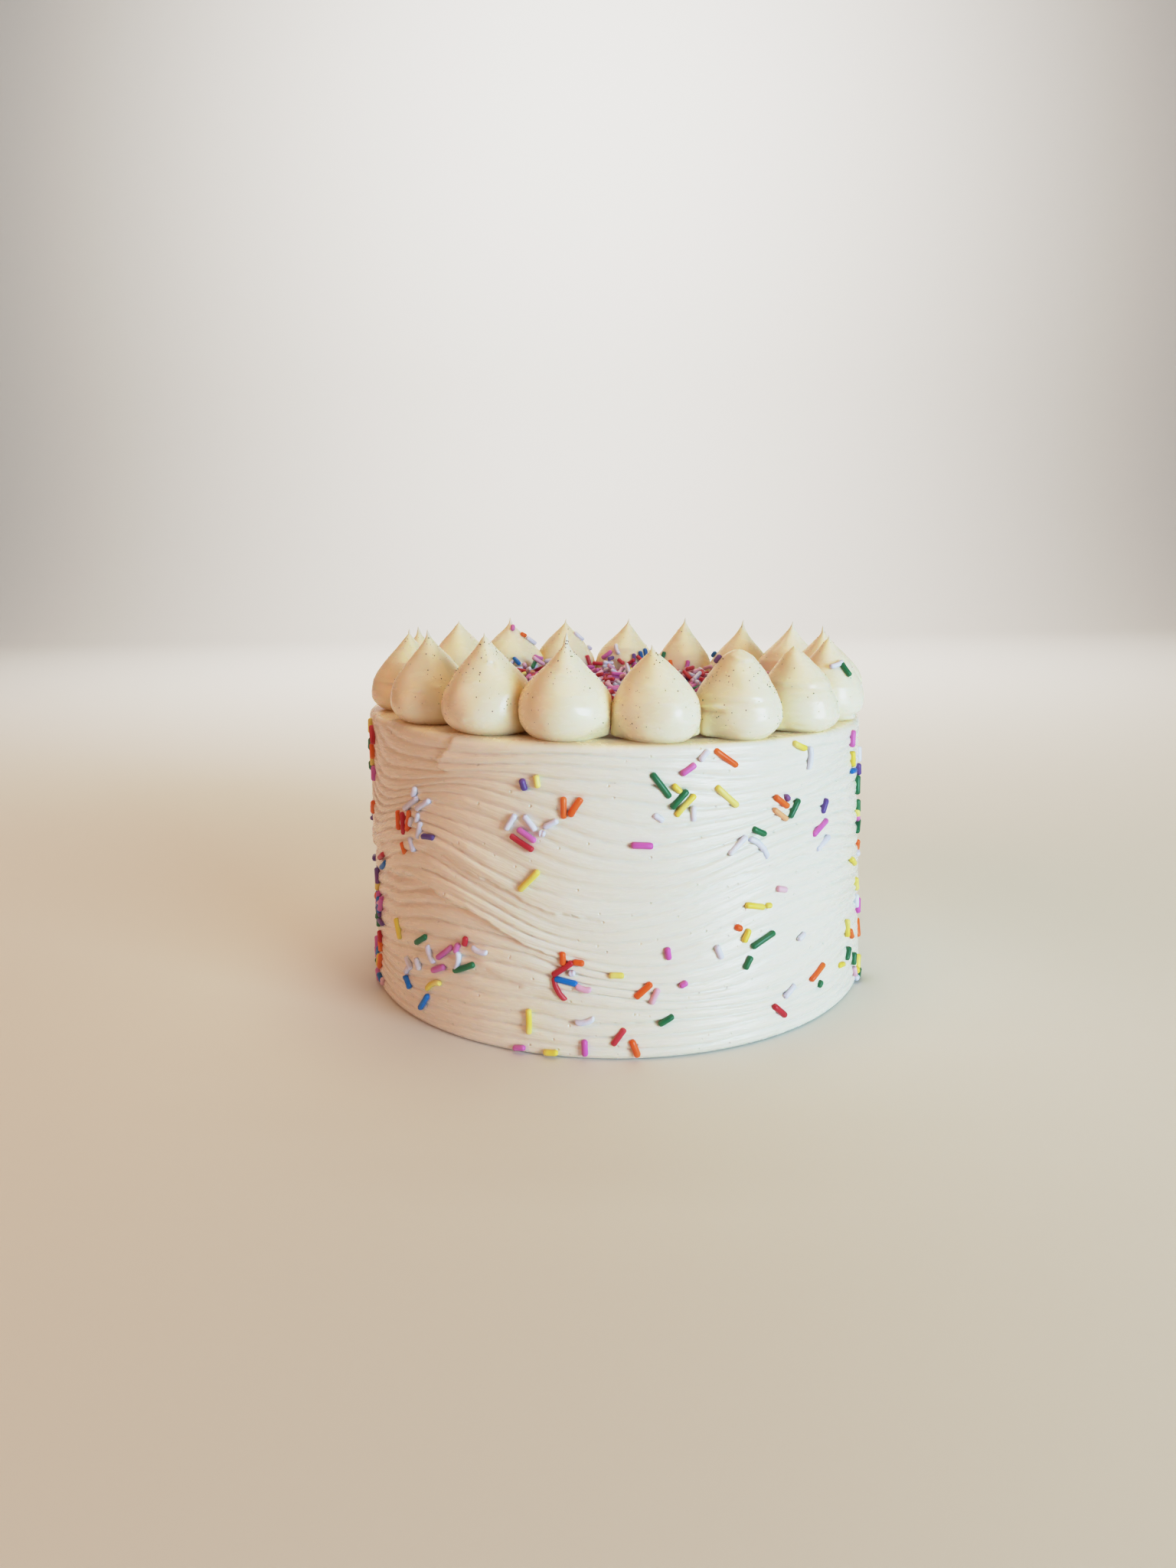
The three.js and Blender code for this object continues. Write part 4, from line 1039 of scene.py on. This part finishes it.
# %% Sprinkles on the side: where they lie
FRONT_SPRINKLES = [
    # The left edge
    (-72, 93, 80, 5.5, "Y"), (-69, 90.5, -70, 6.8, "R"), (-73, 86.4, 60, 5, "G"),
    (-70, 84.6, -75, 5.5, "O"), (-70.5, 81.3, -80, 4.2, "Y"), (-69.5, 77, -85, 5.5, "K"),
    (-64, 49.7, 26, 6.5, "R"), (-62.3, 47.2, 31, 7.2, "B"), (-70, 40, -75, 6, "P"),
    (-70, 36.5, 80, 4, "Y"), (-69.5, 32, 60, 6.5, "K"), (-68, 31, 25, 3.5, "F"),
    (-69.5, 25, 105, 7.2, "g"), (-67.5, 18.8, -65, 4.6, "R"), (-67, 16, -70, 5, "O"),
    (-71, 11.5, 45, 6, "B"), (-70, 8.6, 60, 6.6, "Y"), (-67.5, 9.5, 65, 6.8, "O"),
    (-68, 3.2, -5, 6, "B"), (-70.5, 2, -25, 6, "K"), (-64.9, 3.6, 86, 3, "F"),
    # The upper left cluster
    (-45.9, 77.1, 68, 3.8, "W"), (-47.3, 73, 32, 9.4, "W"), (-43, 73.7, 30, 8, "W"),
    (-52.6, 66.1, -87, 6.6, "O"), (-50.4, 65.7, -85, 7.6, "R"), (-48.3, 67.1, 76, 7.4, "O"),
    (-47.2, 67.1, 69, 3.4, "W"), (-44.9, 69, 68, 3.6, "W"), (-44.1, 65.3, 73, 6, "W"),
    (-41.2, 63.9, 4, 6.2, "P"), (-47, 59.8, -64, 5.2, "W"), (-50.3, 57.5, -58, 4.4, "O"),
    # The lower left cluster
    (-53.6, 28.8, -66, 7.4, "Y"), (-44.2, 29.2, 33, 7, "G"), (-41.2, 25.5, -60, 6.4, "w"),
    (-36.8, 27.9, 38, 9, "K"), (-33.5, 30.5, 65, 3.8, "K"), (-33.4, 26.3, 80, 6.6, "w"),
    (-31.4, 33.3, 78, 3.4, "R"), (-28, 31.1, -8, 6, "w"), (-38.8, 21.7, 25, 6.6, "K"),
    (-31.8, 24.6, 25, 9.2, "G"), (-49, 19.1, -51, 4.9, "W"), (-49.6, 16.5, 48, 4.4, "W"),
    (-45.4, 20.5, -64, 4.4, "W"), (-49.7, 12.2, 132, 5, "b"), (-40.7, 15.5, -150, 8, "y"),
    (-43.7, 8.2, 53, 7.8, "B"),
    # Left of the middle
    (-18.1, 84, -72, 3.8, "P"), (-15.4, 85.1, -82, 4, "Y"), (-20.8, 72.6, 56, 6, "W"),
    (-16.9, 72.7, -49, 5.8, "W"), (-12.8, 72.8, 28, 5, "W"), (-14.5, 69.8, -9, 2.2, "W"),
    (-17.5, 69.1, -32, 6.8, "K"), (-18.5, 66.6, -29, 8.4, "R"), (-10.3, 77.7, -90, 6.6, "O"),
    (-8.1, 78, 57, 6.6, "O"), (-17.1, 55.4, 46, 9.2, "Y"), (-10.8, 32, -88, 4.4, "O"),
    (-10.8, 28.8, 36, 8, "R"), (-7.8, 30.9, -5, 3.6, "O"), (-9.1, 27.6, 9, 2.2, "W"),
    (-10.3, 24.9, -11, 7.4, "B"), (-11.8, 22.3, -64, 8.2, "r"), (-7, 22.9, -15, 5.2, "f"),
    (-17.7, 10.9, -90, 8.2, "Y"), (-6.7, 12.5, 16, 6.2, "w"), (-19.8, 1.4, 9, 4.2, "K"),
    (-13.4, 1.4, 4, 4.8, "Y"), (-6.8, 3.4, -88, 5.4, "K"),
    # Right of the middle
    (-0.7, 27.2, 0, 4.6, "Y"), (21.1, 92.3, -36, 9.2, "O"), (16.5, 92, 48, 4.2, "W"),
    (13.3, 88.1, 32, 5.4, "K"), (7.9, 83.9, -54, 9.2, "G"), (11, 82.7, -44, 3.6, "Y"),
    (11.5, 79.5, 46, 7.2, "G"), (12.6, 77.7, 45, 8.6, "Y"), (14.2, 75, -89, 4.8, "W"),
    (7.4, 74.4, -36, 3.8, "W"), (21.2, 79.2, -43, 9.8, "Y"), (4.3, 66.4, -4, 6.6, "K"),
    (28.3, 67.4, -27, 5.6, "G"), (23.4, 64.2, 40, 8, "W"), (28.4, 62.9, 134, 9.8, "w"),
    (33.7, 48.2, -16, 4.4, "F"), (27.1, 44.7, -14, 7.2, "Y"), (30.3, 44, -8, 2.4, "Y"),
    (23.3, 38.9, -31, 2.6, "O"), (25, 36, 63, 4.6, "Y"), (28.8, 33.7, 21, 9.4, "G"),
    (39.1, 31.1, 29, 3.6, "W"), (19.1, 32.3, -69, 4.8, "W"), (25.2, 27.5, 58, 4.6, "G"),
    (9, 33.4, -82, 4, "K"), (11.9, 23.6, 27, 2.8, "K"), (4.3, 22.4, 42, 6.8, "O"),
    (6.4, 20.5, 65, 5.4, "F"), (8.5, 12.8, 29, 5.4, "G"), (-0.4, 8, 55, 6.6, "R"),
    (2.6, 3.6, -70, 6, "O"),
    # The right
    (34.1, 75.3, -36, 6.8, "O"), (35.6, 76.2, -47, 2.4, "P"), (37.5, 72.5, 52, 6.8, "G"),
    (33.7, 71.5, -36, 7, "E"), (47.4, 70.7, 58, 5.2, "P"), (45.5, 64.3, 24, 9, "K"),
    (46.6, 59, 22, 8.2, "W"), (35.5, 14.6, 34, 5.8, "W"), (32.8, 9.3, -43, 7, "R"),
    (39.5, 93.3, -24, 6.4, "Y"), (42.6, 87.1, 84, 7.4, "w"), (44.5, 16.8, 26, 8.4, "O"),
    (45.5, 12.3, 41, 2.6, "G"),
    # The right edge
    (62.5, 88.8, 80, 5.8, "K"), (63, 81.8, -83, 5.6, "Y"), (63.5, 77.7, -5, 5, "B"),
    (71, 76, -80, 4.4, "P"), (70, 70.8, 80, 6.8, "G"), (71.5, 62.8, 88, 5, "G"),
    (71.5, 60, -60, 4, "Y"), (65, 45.7, -30, 6.6, "Y"), (68.5, 36, -65, 5.6, "Y"),
    (70, 29, 80, 5, "W"), (59.6, 24.5, 88, 6.4, "Y"), (62.5, 21, -50, 5, "O"),
    (60, 15.2, 50, 5, "G"), (65, 10.5, 70, 4.6, "G"), (55.6, 13.6, -10, 4.6, "Y"),
]
TUB = "WWWWWYYYOORRKKKGGGBPPF"  # the colours in the shares that the tub holds
CLUMP_SEED, COLOUR_SEED = 7, 8
SIDE_CLUMPS, SIDE_FROM, SIDE_TO = 84, 68, 292
CLUMP_LOW, CLUMP_HIGH, CLUMP_MOST, LONG_SHARE = 4, 92, 5, 0.6
SPREAD, TURN_ON = 3, 64  # how wide a clump is, and how far each sprinkle turns on from the last


def side_clumps():
    """Sprinkles for the rest of the side, in clumps drawn once from a seed."""
    draw, colours = seeded_draws(CLUMP_SEED), seeded_draws(COLOUR_SEED)
    for i in range(SIDE_CLUMPS):
        azimuth = SIDE_FROM + (SIDE_TO - SIDE_FROM) * (i + next(draw)) / SIDE_CLUMPS
        height = CLUMP_LOW + (CLUMP_HIGH - CLUMP_LOW) * share(i * GOLDEN_SHARE)
        count = 1 + math.floor(CLUMP_MOST * next(draw) ** 2)
        tilt = 180 * next(draw)
        for k in range(count):
            turn = math.radians(k * GOLDEN_TURN + tilt)
            reach = SPREAD * math.sqrt(k)
            shortest = LONG_SPRINKLE if next(draw) < LONG_SHARE else SHORT_SPRINKLE
            length = shortest + LENGTH_SPREAD * next(draw)
            aside = math.degrees(reach * math.cos(turn) / BASE_RADIUS)
            letter = TUB[math.floor(next(colours) * len(TUB))]
            yield azimuth + aside, height + reach * math.sin(turn), tilt + k * TURN_ON, length, letter


side_sprinkles = FRONT_SPRINKLES + list(side_clumps())
print(len(side_sprinkles), "sprinkles on the side")

# %% Sprinkles on the side: laid on the icing
PROUD, PROUD_SPREAD = 0.7, 0.15  # how far the middle of a sprinkle stands out of the icing
GIRTH, GIRTH_SPREAD = 0.93, 0.12
BEND, SLIGHT_BEND = 0.13, 0.3  # of a bent one for each millimetre of length, and of the others
SEAM_SEAT = 0.6  # how much of a seam's lip lifts the sprinkles on it
SIDE_LEAN = 0.04  # how far the side leans back
EDGE_MARGIN = 0.5
SECOND_SHARE, THIRD_SHARE = 0.754878, 0.56984  # steps that never line up, as the golden one


def laid(points, normal, along, place):
    """Turns a sprinkle's points so that it lies along a direction on a surface."""
    normal = np.array(normal) / np.linalg.norm(normal)
    along = np.array(along) - normal * np.dot(along, normal)
    along = along / np.linalg.norm(along)
    return points @ np.stack([along, np.cross(normal, along), normal]) + np.array(place)


def on_side(azimuth, height, tilt, length, letter, number):
    """A sprinkle half sunk in the combed icing, clear of the rim and the base."""
    azimuth, angle = math.radians(azimuth), math.radians(tilt)
    rise = length / 2 * abs(math.sin(angle)) + SPRINKLE_RADIUS + EDGE_MARGIN
    rim = CAKE_HEIGHT + top_rise(TOP_RADIUS * math.sin(azimuth))
    z = min(rim - rise, max(rise, height))
    lip = max(0, float(seam_relief(azimuth, np.array(z)))) * SEAM_SEAT
    seat = radius_at(z) + hand_waves(BULGES, azimuth, z) + lip
    lift = PROUD + PROUD_SPREAD * share(number * GOLDEN_SHARE)
    outward = (math.sin(azimuth), -math.cos(azimuth), SIDE_LEAN)
    sideways = np.array((math.cos(azimuth), math.sin(azimuth), 0))
    along = sideways * math.cos(angle) + np.array((0, 0, math.sin(angle)))
    place = (seat + lift) * np.array((math.sin(azimuth), -math.cos(azimuth), 0)) + (0, 0, z)
    girth = GIRTH + GIRTH_SPREAD * share(number * SECOND_SHARE)
    slight = SLIGHT_BEND * (share(number * THIRD_SHARE) - 0.5)
    bend = BEND * length if letter.islower() else slight
    return laid(sprinkle_points(length, girth, bend), outward, along, place)


for letter, (word, slot, material) in SUGARS.items():
    chosen = [
        on_side(*sprinkle, number)
        for number, sprinkle in enumerate(side_sprinkles)
        if sprinkle[-1].upper() == letter
    ]
    joined_sprinkles(f"side_sprinkles_{word}", chosen, material, slot, ["frosted_cake"])

# %% [markdown]
# ## The heap inside the ring
#
# The sprinkles in the middle were poured, and each came to rest on those below. A physics run of
# a thousand bodies would be slow, so a simpler rule lays them one by one: a map holds the height
# of what has landed so far, a new sprinkle falls straight down until it rests on a point on
# either side of its middle, and then it is added to the map. The kisses are in the map too, so
# some sprinkles come to lean on them. Only the upper layers are real. Below them is a core.

# %% Height map of what the sprinkles fall on
HEAP_RADIUS = 59.4
HEAP_MIDDLE, HEAP_RISE = 5, 3.6  # depth in the middle, and how much more there is at the kisses
CORE_DEPTH = 3.0  # how far the core lies under the heap's surface
CELL, MAP_REACH = 0.35, 70  # size of a cell of the map, and how far it reaches from the middle
PROFILE_STEPS = 40


def heap_height(radius):
    """Height of the heap's surface over the icing, which rises towards the kisses."""
    return HEAP_MIDDLE + HEAP_RISE * (np.minimum(radius, HEAP_RADIUS) / HEAP_RADIUS) ** 3


axis_cells = np.arange(-MAP_REACH, MAP_REACH + CELL, CELL)
map_x, map_y = np.meshgrid(axis_cells, axis_cells, indexing="ij")
map_radius = np.hypot(map_x, map_y)
landed = np.maximum(heap_height(map_radius) - CORE_DEPTH, 0)
for kiss in KISSES:
    x, y = ring_place(kiss)
    away = np.hypot(map_x - x, map_y - y)
    steps = np.linspace(kiss.waist * (kiss.height - kiss.tip), kiss.height, PROFILE_STEPS)
    radii = kiss_radius(kiss, steps)
    bulb = np.interp(away, radii[::-1], steps[::-1], left=kiss.height, right=0)
    landed = np.maximum(landed, bulb)
print("height map of", landed.shape[0], "cells a side")

# %% Dropping a sprinkle
REST_POINTS, REST_INSET, REST_SIDES = 9, 0.8, (-0.5, 0, 0.5)
LEAST_APART = 0.1  # between the two points that a sprinkle rests on
MAP_MARGIN = 3  # cells


def cell(value):
    """Row or column of the map at a place."""
    return int(round((value + MAP_REACH) / CELL))


def resting_line(x, y, heading, length):
    """Height and slope of a sprinkle dropped at a place: the line that rests on two points."""
    steps = np.linspace(-0.5, 0.5, REST_POINTS) * (length - REST_INSET)
    dx, dy = math.cos(heading), math.sin(heading)
    heights = []
    for step in steps:
        cells = [(cell(x + step * dx - side * dy), cell(y + step * dy + side * dx))
                 for side in REST_SIDES]
        heights.append(max(landed[i, j] for i, j in cells))
    best = (-1.0, 0.0)
    centre = REST_POINTS // 2
    for i in range(centre + 1):
        for j in range(centre, REST_POINTS):
            if steps[j] - steps[i] > LEAST_APART:
                slope = (heights[j] - heights[i]) / (steps[j] - steps[i])
                middle = heights[i] - slope * steps[i]
                if middle > best[0]:
                    best = (middle, slope)
    return best


def add_to_map(x, y, heading, length, middle, slope, radius):
    """Raises the map where a sprinkle has come to rest."""
    reach = int(length / 2 / CELL) + MAP_MARGIN
    ci, cj = cell(x), cell(y)
    window = (slice(ci - reach, ci + reach), slice(cj - reach, cj + reach))
    dx, dy = map_x[window] - x, map_y[window] - y
    along = dx * math.cos(heading) + dy * math.sin(heading)
    across = -dx * math.sin(heading) + dy * math.cos(heading)
    under = (np.abs(along) < length / 2) & (np.abs(across) < radius)
    top = middle + slope * along + radius + np.sqrt(np.maximum(radius**2 - across**2, 0))
    landed[window] = np.where(under, np.maximum(landed[window], top), landed[window])


print("dropped in the middle, a sprinkle rests at", round(resting_line(0, 0, 0, 5)[0], 2), "mm")

# %% Laying the sprinkles down one by one
HEAP_SEED, HEAP_COUNT, TRIES = 21, 1250, 5
POURED = "WWWWWWWWFFFFFFFFKKKKKRRRRRRRROEYGGBP"  # the colours in their shares
POUR_RADIUS = 64.5
HEAP_SHORTEST, HEAP_LENGTHS = 3.4, 3.6
HEAP_GIRTH, HEAP_GIRTHS = 0.78, 0.16
HEAP_BEND, STRAIGHT_SHARE = 0.9, 0.6
STEEPEST, HIGHEST = 0.75, 3.5  # a sprinkle that lies steeper, or higher over the heap, is left out
HEAP_LIFT = 0.2  # how far the heap stands over the icing


def emptiest_place(draw):
    """The place, of a few drawn ones, where the most is missing of the heap."""
    tries = []
    for _ in range(TRIES):
        radius = POUR_RADIUS * math.sqrt(next(draw))
        azimuth = FULL_TURN * next(draw)
        x, y = radius * math.sin(azimuth), -radius * math.cos(azimuth)
        tries.append((landed[cell(x), cell(y)] - heap_height(radius), x, y, radius))
    return min(tries)[1:]


draw = seeded_draws(HEAP_SEED)
heap = {letter: [] for letter in SUGARS}
for _ in range(HEAP_COUNT):
    x, y, radius = emptiest_place(draw)
    heading = math.pi * next(draw)
    length = HEAP_SHORTEST + HEAP_LENGTHS * next(draw)
    girth = HEAP_GIRTH + HEAP_GIRTHS * next(draw)
    bend = HEAP_BEND * max(0, next(draw) - STRAIGHT_SHARE)
    letter = POURED[math.floor(next(draw) * len(POURED))]
    middle, slope = resting_line(x, y, heading, length)
    if abs(slope) > STEEPEST or middle > heap_height(radius) + HIGHEST:
        continue
    thick = SPRINKLE_RADIUS * girth
    add_to_map(x, y, heading, length, middle, slope, thick)
    along = np.array((math.cos(heading), math.sin(heading), slope))
    height = CAKE_HEIGHT + HEAP_LIFT + top_rise(x + RING_SHIFT) + middle + thick
    points = sprinkle_points(length, girth, bend)
    up = (-slope * math.cos(heading), -slope * math.sin(heading), 1)
    heap[letter].append(laid(points, up, along, (x + RING_SHIFT, y, height)))
print("sprinkles in the heap:", sum(map(len, heap.values())))

# %% [markdown]
# A few sprinkles stuck to the kisses on their way down. They are listed one by one, each by its
# kiss counted from 0, its turn round that kiss from the outer side, its height, and its tilt
# from level. A small letter marks a short one.

# %% Sprinkles on the kisses
ON_KISSES = [
    (10, 168, 24, 70, "k"), (10, 215, 21, -40, "o"), (10, 228, 18.5, -55, "W"),
    (10, 205, 12, -15, "K"), (10, 150, 11, 40, "w"),
    (9, 232, 20, -62, "W"), (9, 250, 15, -40, "w"), (9, 215, 10, -80, "R"),
    (8, 160, 15, -60, "W"), (8, 140, 12.5, 45, "K"), (8, 212, 12, 88, "B"), (8, 226, 13, 70, "B"),
    (8, 196, 11, 80, "P"), (7, 150, 12, -80, "G"), (6, 120, 14, 60, "b"),
    (6, 205, 9.5, 75, "W"), (6, 190, 9, 60, "K"), (7, 205, 9, 75, "K"), (7, 175, 9, -70, "O"),
    (1, 229, 23, 84, "p"), (3, 318, 17.5, -72, "G"), (3, 300, 19, 22, "W"),
]
STUCK_SHORT, STUCK_LONG, STUCK_GIRTH, STUCK_BEND, STUCK_PROUD = 3, 5.6, 0.9, 0.4, 0.55
STEP_UP, STEP_ROUND = 0.4, 0.05  # to the points above and beside, which give the surface


def on_kiss(kiss, turn, z, tilt, letter, number):
    """A sprinkle that lies on the surface of a kiss."""
    turn = math.radians(turn)
    here, above, beside = (
        np.array(kiss_point(kiss, turn + dt, z + dz))
        for dt, dz in ((0, 0), (0, STEP_UP), (STEP_ROUND, 0))
    )
    up, side = above - here, beside - here
    up, side = up / np.linalg.norm(up), side / np.linalg.norm(side)
    normal = np.cross(side, up)
    if np.dot(normal, here - np.array(axis_point(kiss, z))) < 0:
        normal = -normal
    angle = math.radians(tilt)
    along = side * math.cos(angle) + up * math.sin(angle)
    length = STUCK_SHORT if letter.islower() else STUCK_LONG
    points = sprinkle_points(length, STUCK_GIRTH, STUCK_BEND * share(number * GOLDEN_SHARE))
    return laid(points, normal, along, here + STUCK_PROUD * normal)


for number, row in enumerate(ON_KISSES):
    heap[row[4].upper()].append(on_kiss(*row, number))
for letter, (word, slot, material) in SUGARS.items():
    joined_sprinkles(f"heap_sprinkles_{word}", heap[letter], material, slot, ["sprinkle_heap"])

# %% [markdown]
# The core is a turned disc just under the loose layers. Little of it shows, and what does shows
# between sprinkles, so it has bumps of their size and their mixed colours from a cell texture.

# %% Core of the heap
CORE_TONES = [
    (0.55, 0.03, 0.06), (0.6, 0.15, 0.42), (0.5, 0.5, 0.54), (0.4, 0.02, 0.04), (0.02, 0.1, 0.05),
]
CELL_SCALE, CELL_STRENGTH, CELL_RELIEF = 420.0, 0.8, 0.001
CORE_RINGS, CORE_STEPS = 40, 120
CORE_FOOT = 0.1  # height up to which the core stays flat
CORE_BUMP, CORE_BUMP_SIZE = 0.5, 1.6
CORE_ROUGHNESS = 0.5


def mixed_sugar():
    """Cells of the heap's colours, each of them raised in its middle."""
    material, tree, shader = new_material("mixed_sugar")
    place = add_node(tree, "ShaderNodeTexCoord").outputs["Object"]
    cells = add_node(tree, "ShaderNodeTexVoronoi", {"Vector": place}, Scale=CELL_SCALE)
    pick = add_node(tree, "ShaderNodeSeparateColor", {"Color": cells.outputs["Color"]})
    ramp = add_node(tree, "ShaderNodeValToRGB", {"Fac": pick.outputs["Red"]})
    ramp.color_ramp.interpolation = "CONSTANT"
    stops = ramp.color_ramp.elements
    while len(stops) < len(CORE_TONES):
        stops.new(len(stops) / len(CORE_TONES))
    for i, tone in enumerate(CORE_TONES):
        stops[i].position = i / len(CORE_TONES)
        stops[i].color = (*tone, 1)
    tree.links.new(ramp.outputs["Color"], shader.inputs["Base Color"])
    bump = add_node(
        tree, "ShaderNodeBump", {"Height": cells.outputs["Distance"]},
        Strength=CELL_STRENGTH, Distance=CELL_RELIEF, invert=True,
    )
    tree.links.new(bump.outputs["Normal"], shader.inputs["Normal"])
    shader.inputs["Roughness"].default_value = CORE_ROUGHNESS
    return material


core = bmesh.new()
core_top = [(r, 0, heap_height(r) - CORE_DEPTH) for r in np.linspace(0, HEAP_RADIUS, CORE_RINGS)]
spin_profile(core, [*core_top, (HEAP_RADIUS, 0, 0), (0, 0, 0)], CORE_STEPS)
for vert in core.verts:
    if vert.co.z > CORE_FOOT:
        vert.co.z += CORE_BUMP * noise.noise(vert.co / CORE_BUMP_SIZE)
    vert.co.x += RING_SHIFT
    vert.co.z += CAKE_HEIGHT + HEAP_LIFT + top_rise(vert.co.x)
bmesh.ops.recalc_face_normals(core, faces=core.faces)
finish_piece("heap_core", core, mixed_sugar(), "sugar_pink", ["sprinkle_heap"])

# %% [markdown]
# ## Vanilla
#
# The buttercream of the kisses is flavoured with vanilla seeds, black grains of a quarter of a
# millimetre or so. They show most on the upper halves. Each is a small faceted ball, pressed
# into the surface, at a place drawn from a seeded stream.

# %% Vanilla specks
# How many seeds lie on each kiss
SPECK_COUNTS = [110, 180, 28, 20, 18, 20, 18, 16, 20, 24, 20, 20, 18, 26, 70, 130, 110]
SPECK_SEED = 5
SPECK_LOW, SPECK_RISE, SPECK_CROWDING = 0.12, 0.8, 0.8  # as shares of a kiss's height
SPECK_SIZE, SPECK_SIZES = 0.1, 0.12  # the least radius, and how much larger a seed can be
SEED_DARK, SEED_BROWN = (0.03, 0.016, 0.01), (0.09, 0.05, 0.03)
SEED_SCALE, SEED_ROUGHNESS = 300.0, 0.5


def vanilla_material():
    """Nearly black, and a little browner here and there."""
    material, tree, shader = new_material("vanilla_seed")
    place = add_node(tree, "ShaderNodeTexCoord").outputs["Object"]
    tone = add_node(tree, "ShaderNodeTexNoise", {"Vector": place}, Scale=SEED_SCALE)
    colour = blend(tree, tone.outputs["Fac"], SEED_DARK, SEED_BROWN)
    tree.links.new(colour, shader.inputs["Base Color"])
    shader.inputs["Roughness"].default_value = SEED_ROUGHNESS
    return material


specks = bmesh.new()
draw = seeded_draws(SPECK_SEED)
for index, kiss in enumerate(KISSES):
    for _ in range(SPECK_COUNTS[index]):
        turn = FULL_TURN * next(draw)
        z = kiss.height * (SPECK_LOW + SPECK_RISE * next(draw) ** SPECK_CROWDING)
        size = SPECK_SIZE + SPECK_SIZES * next(draw) ** 2
        here = Vector(kiss_point(index, turn, z))
        here += (here - axis_point(index, z)).normalized() * kiss_unevenness(here, index)
        grain = bmesh.ops.create_icosphere(specks, subdivisions=1, radius=size)
        bmesh.ops.translate(specks, vec=here, verts=grain["verts"])
finish_piece("vanilla_specks", specks, vanilla_material(), "vanilla")
